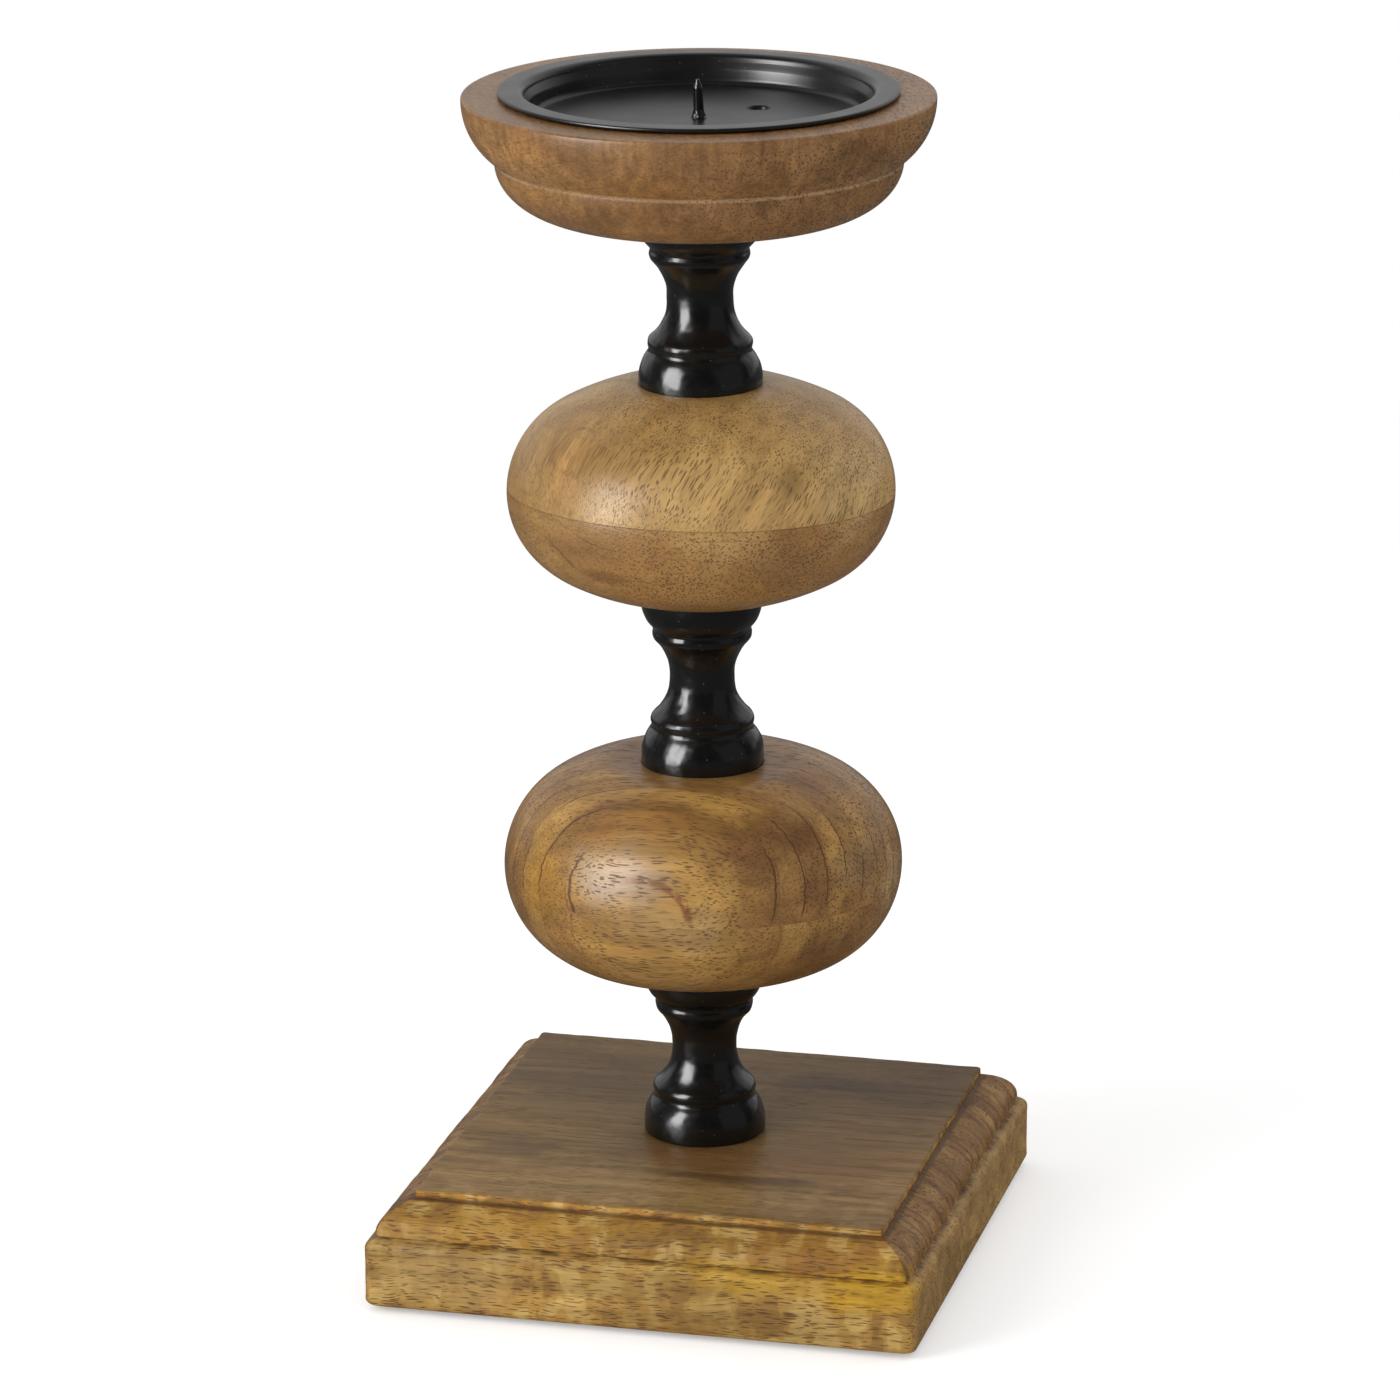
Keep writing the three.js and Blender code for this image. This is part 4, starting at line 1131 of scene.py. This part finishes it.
def make_balls():
    """Make the two turned wooden balls, each with a seat at both poles and a bore"""
    sizes = values("balls")
    bore = values("hardware").bore
    balls = ("lower_ball", lower_ball_wood), ("upper_ball", upper_ball_wood)
    for i, (node, ball_wood) in enumerate(balls):
        arcs = (reach(node), sizes.equator[i], sizes.pole[i])
        lower = ball_half(*arcs, sizes.top_seat + sizes.below[i], sizes.blend)[::-1]
        upper = ball_half(*arcs, sizes.foot_seat + sizes.above[i], sizes.blend)
        waist = lower[0, 1]
        lower[:, 1] = waist - lower[:, 1]
        upper[:, 1] += waist
        height = upper[-1, 1]
        low_seat, high_seat = sizes.seat_below[i], height - sizes.seat_above[i]
        outline = np.vstack([
            [[bore, low_seat], [sizes.top_seat, low_seat], [sizes.top_seat, 0]], lower, upper[1:],
            [[sizes.foot_seat, height], [sizes.foot_seat, high_seat], [bore, high_seat]],
        ])
        grid = lathed("ball", outline)
        grid[..., 2] += foot(node)
        grid += outward(grid, True) * (layered(grid, 5, BALL_WAVES) * MM)[..., None]
        add_body("turned_" + node, node, node + "_wood", grid, True, ball_wood(node_centre(node)))


# Cup

def make_cup():
    """Make the turned wooden cup"""
    sizes, hardware = values("cup"), values("hardware")
    seat = values("balls").top_seat
    radius, height = reach("cup"), top("cup") - foot("cup")
    step_height = height - sizes.band
    band_top = height - sizes.band_straight
    band_from = -math.asin((band_top - step_height) / sizes.band_arc)
    band = arc((radius - sizes.band_arc, band_top), sizes.band_arc, band_from, 0, 50)
    lip = (band[0, 0] - sizes.step, step_height - sizes.step)
    bowl = arc((sizes.underside, lip[1]), (lip[0] - sizes.underside, lip[1]), -QUARTER, 0, 60)
    edge = arc((radius - sizes.rim_round, height - sizes.rim_round), sizes.rim_round, 0, QUARTER, 12)
    floor = height - sizes.recess_depth
    pocket = floor - hardware.nut_depth
    outline = np.vstack([
        [[hardware.bore, sizes.seat_depth], [seat, sizes.seat_depth], [seat, 0]],
        bowl, band, edge,
        [[sizes.recess_radius, height], [sizes.recess_radius, floor], [hardware.nut_room, floor],
         [hardware.nut_room, pocket], [hardware.bore, pocket]],
    ])
    grid = lathed("cup", outline)
    # The recess's floor sinks under the screw, as it does in the frame's own cup.
    rim, bottom = 5.4 * MM, 4.6 * MM
    above = 15 * MM
    away = from_axis(grid - [*middle("pan_screw"), 0])
    inside = (grid[..., 2] > above) & (from_axis(grid) < sizes.recess_radius)
    grid[..., 2] -= inside * smooth(rim, bottom, away) * sizes.dimple_depth
    grid[..., 2] += foot("cup")
    add_body("turned_cup", "cup", "cup_wood", grid, True, cup_wood(node_centre("cup")))


# Base

def square_ring(half, corner, height, side_steps=150, corner_steps=8):
    """A rounded square: straight sides, and corner + radius (cos a, sin a) at its four corners.

    Each quarter is a corner's arc and then the side that follows it, so rings of any size match.
    """
    centre = half - corner
    angle = np.linspace(0, QUARTER, corner_steps, endpoint=False)
    side = np.linspace(centre, -centre, side_steps, endpoint=False)
    quarter = np.vstack([
        np.column_stack([centre + corner * np.cos(angle), centre + corner * np.sin(angle)]),
        np.column_stack([side, np.full(side_steps, half)]),
    ])
    turns = [np.array([[c, -s], [s, c]]) for c, s in ((1, 0), (0, 1), (-1, 0), (0, -1))]
    ring = np.vstack([quarter @ turn.T for turn in turns])
    return np.column_stack([ring, np.full(len(ring), height)])


def base_section(sizes, half, height):
    """The moulding's section from the underside to the field: (half width, height, corner radius)."""
    ovolo_foot = sizes.side + sizes.quirk_height
    ovolo_top = height - sizes.field_step
    outer = half - sizes.side_round
    ovolo_to = QUARTER * sizes.ovolo
    ovolo_width = (outer - sizes.field_half) / (1 - math.cos(ovolo_to))
    ovolo_rise = (ovolo_top - ovolo_foot) / math.sin(ovolo_to)
    edge_centre = (sizes.field_half - sizes.field_round, height - sizes.field_round)
    foot_margin, field_margin = 12 * MM, 6 * MM
    points = np.vstack([
        [[half - foot_margin, 0]],
        arc((half - sizes.arris, sizes.arris), sizes.arris, -QUARTER, 0, 12),
        arc((outer, sizes.side - sizes.side_round), sizes.side_round, 0, QUARTER, 16),
        [[outer - sizes.quirk_depth, sizes.side + sizes.quirk_height / 2]],
        arc((outer - ovolo_width, ovolo_foot), (ovolo_width, ovolo_rise), 0, ovolo_to, 40),
        arc(edge_centre, sizes.field_round, 0, QUARTER, 6),
        [[sizes.field_half - field_margin, height]],
    ])
    corners = [sizes.corner, sizes.corner, sizes.field_corner]
    corner = np.interp(points[:, 1], [0, ovolo_foot, ovolo_top], corners)
    return softened("base", np.column_stack([points, corner]))


def chipped(grid, sizes, height):
    """Wear the moulding by hand: waves all over, and chips along the field's upper edge.

    A chip takes points near the edge inwards and down, where a noise along the edge is high.
    """
    x, y, above = np.moveaxis(grid, -1, 0)
    half = np.maximum(np.abs(x), np.abs(y))
    on_ends = np.abs(x) > np.abs(y)
    out = np.stack([on_ends, ~on_ends, np.zeros_like(on_ends)], -1) * np.sign(grid)
    moulded = (half >= sizes.field_half - 2 * MM) & (above >= 3 * MM)
    world = grid + [0, 0, foot("base_block")]
    wave = layered(world, 71, CUT_WAVES)
    world = world + out * (wave * sizes.waviness * moulded)[..., None]
    reach_in, reach_down = 1.0 * MM, 1.3 * MM
    near = np.exp(-(((half - sizes.field_half) / reach_in) ** 2) - ((above - height) / reach_down) ** 2)
    nibble = layered(world * [1, 1, 0], 73, CHIP_WAVES)
    ends = np.where(x < 0, WORN_LEFT, WORN_RIGHT)
    exposed = np.where(on_ends, ends, np.where(y < 0, WORN_FRONT, WORN_BACK))
    chip = near * smooth(-0.3, 1.3, nibble) * sizes.chip * exposed
    world = world - out * (chip * 0.6)[..., None]
    world[..., 2] -= chip * 0.5
    return world


def make_base():
    """Make the square moulded base"""
    sizes, hardware = values("base"), values("hardware")
    height = top("base_block") - foot("base_block")
    section = base_section(sizes, reach("base_block"), height)
    rings = [square_ring(half, max(corner, 0.2 * MM), level) for half, level, corner in section]
    flat = rings[-1][:, :2]
    direction = flat / np.linalg.norm(flat, axis=1, keepdims=True)
    bore, room, depth = hardware.bore, hardware.nut_room, hardware.nut_depth
    edge = 0.3 * MM
    field_inner = 25 * MM
    inner_below = [(bore, height / 2), (bore, depth), (room, depth), (room, edge), (room + edge, 0)]
    inner_above = [(field_inner, height), (bore + edge, height), (bore, height - edge)]
    below, above = (
        [np.column_stack([direction * radius, np.full(len(direction), level)]) for radius, level in inner]
        for inner in (inner_below, inner_above))
    grid = chipped(np.stack([*below, *rings, *above]), sizes, height)
    add_body("moulded_base", "base_block", "base_wood", grid, True, base_wood(node_centre("base_block")))


# Pan, screw and spike

def pan_face(sizes, depth, offset):
    """One face of the pan's sheet, offset outwards from its inner face, from the floor to the flange."""
    ledge = sizes.sheet + depth / 2
    wall = sizes.floor + offset
    floor_centre = (sizes.floor - sizes.floor_bend, sizes.sheet + sizes.floor_bend)
    mouth_centre = (sizes.mouth + sizes.mouth_bend, depth + sizes.sheet - sizes.mouth_bend)
    return np.vstack([
        arc(floor_centre, sizes.floor_bend + offset, -QUARTER, 0, 16),
        [[wall + sizes.ledge_foot, ledge - sizes.ledge_height], [wall + sizes.ledge, ledge]],
        arc(mouth_centre, sizes.mouth_bend - offset, math.pi, QUARTER, 16),
    ])


def floor_line(radius_to, height, screw_radius):
    """Points of the floor from the axis outwards, closer together where the dimple is."""
    beside_screw, fine, coarse = 5 * MM, 0.3 * MM, 2 * MM
    near = np.arange(screw_radius - beside_screw, screw_radius + beside_screw, fine)
    after = np.arange(near[-1] + coarse / 2, radius_to, coarse)
    radii = np.concatenate([np.arange(0, near[0], coarse), near, after])
    return np.column_stack([radii, np.full(len(radii), height)])


def make_pan():
    """Make the pressed steel candle pan, whose floor sinks in a dimple round the screw"""
    sizes = values("pan")
    under = foot("candle_pan") + sizes.dimple_depth
    depth = top("candle_pan") - under - sizes.sheet
    screw = middle("pan_screw")
    lip = sizes.sheet / 2
    outer = pan_face(sizes, depth, sizes.sheet)
    inner = pan_face(sizes, depth, 0)[::-1]
    lip_arc = arc((reach("candle_pan") - lip, depth + sizes.sheet - lip), lip, -QUARTER, QUARTER, 12)
    soft = softened("pan", np.vstack([outer, lip_arc, inner]))
    gap = 0.5 * MM
    lower = floor_line(outer[0, 0] - gap, 0, math.hypot(*screw))
    upper = floor_line(inner[-1, 0] - gap, sizes.sheet, math.hypot(*screw))[::-1]
    grid = carried(np.vstack([lower, soft, upper]), SIDES_LARGE)
    grid[..., 2] += under
    on_top = np.arange(len(grid))[:, None] > len(grid) // 2
    edge = sizes.dimple_radius + np.where(on_top, 0, sizes.sheet)
    sink = smooth(edge + sizes.dimple_wall, edge, from_axis(grid - [*screw, 0])) * sizes.dimple_depth
    grid[..., 2] -= np.where(from_axis(grid) < sizes.floor - sizes.floor_bend, sink, 0)
    add_body("pressed_pan", "candle_pan", "pan_paint", grid, False, pan_paint("satin_black_paint"))


def make_spike():
    """Make the nail spike with its cut tip and its bead of weld"""
    sizes = values("pan")
    height = top("spike") - foot("spike")
    rising = np.linspace(0, 1, 17)
    weld_radius = sizes.spike_radius + (reach("spike") - sizes.spike_radius) * (1 - rising) ** 1.5
    cut = height - sizes.spike_tip
    outline = np.vstack([
        [[0, 0]], np.column_stack([weld_radius, sizes.weld * rising]),
        [[sizes.spike_neck, cut], [sizes.spike_point, height], [0, height]],
    ])
    grid = lathed("spike", outline, False)
    level = grid[..., 2:].copy()
    lumps = waves(grid, 1.6, 91) * 0.16 * MM * smooth(sizes.weld * 1.3, sizes.weld * 0.6, grid[..., 2])
    cuts = waves(grid, 1.6, 92) * 0.1 * MM * smooth(cut, height, grid[..., 2])
    normal = outward(grid, False)
    normal[[0, -1]] = 0
    grid += normal * np.minimum(lumps + cuts, 0.02 * MM)[..., None] * smooth(0, 0.2 * MM, level)
    grid[..., 2] = np.clip(grid[..., 2], 0, height)
    rise = level / height
    grid -= np.array(camera_axes()[0]) * (rise * smooth(0, 0.3, rise) * sizes.spike_lean)
    grid[..., 2] += foot("spike")
    add_body("nail_spike", "spike", "pan_paint", grid, False, pan_paint("spike_paint", 0.24))


def make_screw():
    """Make the pan's small black screw, with two crossed slots in its head"""
    sizes = values("pan")
    seat = top("pan_screw") - foot("pan_screw") - sizes.screw_head
    dome = arc((0, seat), (reach("pan_screw"), sizes.screw_head), 0, QUARTER, 24)
    point = 3 * MM
    outline = np.vstack([[[0, 0], [sizes.screw_shank, point], [sizes.screw_shank, seat]], dome])
    grid = lathed("screw", outline, False)
    turn = math.radians(20)
    along = grid[..., 0] * math.cos(turn) + grid[..., 1] * math.sin(turn)
    across = grid[..., 1] * math.cos(turn) - grid[..., 0] * math.sin(turn)
    slot_half, slot_reach = (0.42 * MM, 0.25 * MM), (1.7 * MM, 1.2 * MM)
    slot = smooth(*slot_half, np.minimum(np.abs(along), np.abs(across)))
    slot *= smooth(*slot_reach, np.hypot(along, across))
    slot *= smooth(seat, seat + 0.1 * MM, grid[..., 2])
    grid[..., 2] -= slot * sizes.slot_depth
    grid += [*middle("pan_screw"), foot("pan_screw")]
    add_body("pan_floor_screw", "pan_screw", "screw_black", grid, False, screw_finish_painted_glint())


# Rod, nuts, washers and pads

def make_rod(sizes, finish):
    """The rod: radius R minus the thread's depth times a triangle wave of height over pitch, less turn."""
    low, high, radius = foot("tie_rod"), top("tie_rod"), reach("tie_rod")
    ends = np.arange(0, sizes.threaded, sizes.pitch / 8)
    height = np.concatenate([low + ends, [(low + high) / 2], high - ends[::-1]])[:, None]
    angle = around(SIDES_ROD)
    from_end = np.minimum(height - low, high - height)
    turns = (height - low) / sizes.pitch - angle / (2 * math.pi)
    ridge = np.abs(((turns % 1) * 2) - 1)
    fade = smooth(sizes.threaded, sizes.threaded - 2 * MM, from_end)
    chamfer = np.clip(sizes.rod_chamfer - from_end, 0, None)
    cut = np.minimum(radius - ridge * sizes.thread_depth * fade, radius - chamfer)
    thread = ring_of(cut, angle, height)
    low_cap, high_cap = (ring_of(0, angle, level)[None] for level in (low, high))
    add_body("threaded_rod", "tie_rod", "zinc", np.concatenate([low_cap, thread, high_cap]), False, finish)


def make_nut(node, sizes, finish):
    """A hexagon nut: half its width over cos of the angle from a flat's middle, with a coned chamfer."""
    low, high = foot(node), top(node)
    flat = sizes.nut_flats / 2
    sector = math.pi / 3
    angle = around(SIDES_SMALL)
    hexagon = flat / np.cos((angle % sector) - sector / 2)
    face = flat * 0.96
    chamfer = (hexagon - face) * math.tan(math.radians(30))
    mouth = sizes.hole + 0.5 * MM
    rows = [(sizes.hole, low + 0.5 * MM), (mouth, low), (face, low), (hexagon, low + chamfer),
            (hexagon, high - chamfer), (face, high), (mouth, high), (sizes.hole, high - 0.5 * MM)]
    grid = np.stack([ring_of(radius, angle, height) for radius, height in rows])
    bevel = add_body("zinc_" + node, node, "zinc", grid, True, finish).modifiers.new("Edges", "BEVEL")
    bevel.width = 0.12 * MM
    bevel.segments = 2
    bevel.limit_method = "ANGLE"
    bevel.angle_limit = math.radians(25)


def flat_disc(kind, node, hole):
    """A flat round piece, with a hole of this radius."""
    low, high, radius = foot(node), top(node), reach(node)
    outline = np.array([[hole, low], [radius, low], [radius, high], [hole, high]])
    return lathed(kind, outline, hole > 0) + [*middle(node), 0]


def make_hardware():
    """Make the rod with its washers and nuts"""
    sizes = values("hardware")
    finish = zinc_plating()
    make_rod(sizes, finish)
    for node in ("base_washer", "cup_washer"):
        add_body("zinc_" + node, node, "zinc", flat_disc("washer", node, sizes.hole), True, finish)
    for node in ("base_nut", "cup_nut"):
        make_nut(node, sizes, finish)


def make_pads():
    """Make the four felt pads"""
    finish = felt_cloth()
    for i in range(1, 5):
        node = f"felt_pad_{i}"
        add_body("round_" + node, node, "felt", flat_disc("pad", node, 0), False, finish)


# Studio

def light_path(finish, kind):
    """1 for rays of a kind, such as Camera."""
    return finish.node("LightPath", output=f"Is {kind} Ray")


def make_floor(studio):
    """A wide pale floor: white to the camera but for the holder's shadow, and darker in reflections."""
    mesh = bpy.data.meshes.new("studio_floor")
    far = 6.0
    mesh.from_pydata([(-far, -far, 0), (far, -far, 0), (far, far, 0), (-far, far, 0)], [], [(0, 1, 2, 3)])
    finish = Finish("studio_floor", Roughness=1.0, Specular_IOR_Level=0, Emission_Strength=1)
    out = finish.vector("DISTANCE", finish.place, (0, 0, 0), output="Value")
    fade = out.rise(0.25, 1.1)
    camera = light_path(finish, "Camera")
    dark = (fade * camera + light_path(finish, "Glossy") * 0.85).capped()
    finish.feed("Base Color", finish.mixed(dark, values("finishes").floor, BLACK))
    lift = (fade * (1 - studio.lift) + studio.lift) * camera
    finish.feed("Emission Color", finish.mixed(lift, BLACK, WHITE))
    mesh.materials.append(finish.owner)
    floor = placed("studio_floor", mesh)


def make_world(studio):
    """White to the camera, an even sky for the light, and in shine a bright back and a dark front."""
    finish = Finish("studio", world=True, Color=(*WHITE, 1))
    bpy.context.scene.world = finish.owner
    direction = finish.node("TexCoord", output="Generated")
    behind = finish.vector("DOT_PRODUCT", direction, tuple(seen(0, 1, 0.15)), output="Value")
    behind = behind.rise(0.1, 0.75)
    shine = behind * (studio.back_shine - studio.front_shine) + studio.front_shine
    camera = light_path(finish, "Camera")
    shiny = (light_path(finish, "Glossy") + light_path(finish, "Transmission")).capped()
    seen_by_surface = shiny * (shine - studio.sky) + studio.sky
    finish.feed("Strength", camera * (1 - seen_by_surface) + seen_by_surface)


def make_lamp(name, place, target, size, power, lights=True):
    """A soft square lamp that looks at the target. One that doesn't light is only seen in shine."""
    light = bpy.data.lights.new(name, "AREA")
    light.shape = "RECTANGLE"
    light.size, light.size_y = size
    light.energy = power
    lamp = placed(name, light)
    lamp.location = place
    lamp.rotation_euler = (place - target).to_track_quat("Z", "Y").to_euler()
    lamp.visible_diffuse = lights
    lamp.visible_transmission = lights


def make_camera(studio, target):
    """The camera of the photograph: its place from azimuth, elevation and distance, then its roll."""
    right, up, back = camera_axes()
    data = bpy.data.cameras.new("camera")
    data.sensor_width = 36
    data.lens = studio.lens
    data.shift_x, data.shift_y = PHOTO_SHIFT
    data.clip_end = 50
    camera = placed("camera", data)
    turn = Matrix((right, up, back)).transposed() @ Matrix.Rotation(studio.roll, 3, "Z")
    camera.matrix_world = Matrix.Translation(target + back * studio.distance) @ turn.to_4x4()
    bpy.context.scene.camera = camera


def make_stage():
    """Make the studio: floor, sky, lamps and camera"""
    studio = values("studio")
    bpy.context.scene.view_settings.view_transform = "Standard"
    target = Vector((0, 0, studio.target))
    make_floor(studio)
    make_world(studio)
    key = target + seen(-0.82, -0.55, 0.32) * 1.5
    fill = target + seen(0.85, -0.5, 0.35) * 1.8
    make_lamp("key_softbox", key, target, (0.6, 1.1), studio.key)
    make_lamp("key_shine", target + (key - target) * 0.98, target, (0.75, 1.3), studio.shine, False)
    make_lamp("fill_panel", fill, target, (1.8, 2.2), studio.fill)
    make_camera(studio, target)


# Operators and panel

def operator(name, label, make):
    """An operator that runs the function that makes a part of the holder."""

    def execute(self, context):
        make()
        return {"FINISHED"}

    members = {"bl_idname": "candle_holder." + name, "bl_label": label, "execute": execute}
    return type("CANDLE_OT_" + name, (bpy.types.Operator,), {"__doc__": make.__doc__, **members})


OPERATORS = (
    operator("stage", "Studio", make_stage),
    operator("base", "Base", make_base),
    operator("spools", "Spools", make_spools),
    operator("balls", "Balls", make_balls),
    operator("cup", "Cup", make_cup),
    operator("pan", "Pan", make_pan),
    operator("spike", "Spike", make_spike),
    operator("screw", "Screw", make_screw),
    operator("hardware", "Rod and nuts", make_hardware),
    operator("pads", "Felt pads", make_pads),
)


class CANDLE_PT_holder(bpy.types.Panel):
    """Buttons that make the holder's pieces and its studio"""

    bl_idname = "CANDLE_PT_holder"
    bl_label = "Candle holder"
    bl_space_type = "VIEW_3D"
    bl_region_type = "UI"
    bl_category = "Candle holder"

    def draw(self, context):
        for made in OPERATORS:
            self.layout.operator(made.bl_idname)


def register():
    """Tell Blender of the classes, and give each scene its sizes."""
    for made in (*SIZE_GROUPS.values(), *OPERATORS, CANDLE_PT_holder):
        bpy.utils.register_class(made)
    for name, group in SIZE_GROUPS.items():
        setattr(bpy.types.Scene, "candle_" + name, PointerProperty(type=group))


def unregister():
    """Undo what register does."""
    for name in SIZE_GROUPS:
        delattr(bpy.types.Scene, "candle_" + name)
    for made in (CANDLE_PT_holder, *reversed(OPERATORS), *reversed(SIZE_GROUPS.values())):
        bpy.utils.unregister_class(made)


def main():
    """Make the studio and the holder, and note their sizes."""
    register()
    bpy.ops.candle_holder.stage()
    bpy.ops.candle_holder.base()
    bpy.ops.candle_holder.spools()
    bpy.ops.candle_holder.balls()
    bpy.ops.candle_holder.cup()
    bpy.ops.candle_holder.pan()
    bpy.ops.candle_holder.spike()
    bpy.ops.candle_holder.screw()
    bpy.ops.candle_holder.hardware()
    bpy.ops.candle_holder.pads()


if __name__ == "__main__":
    main()
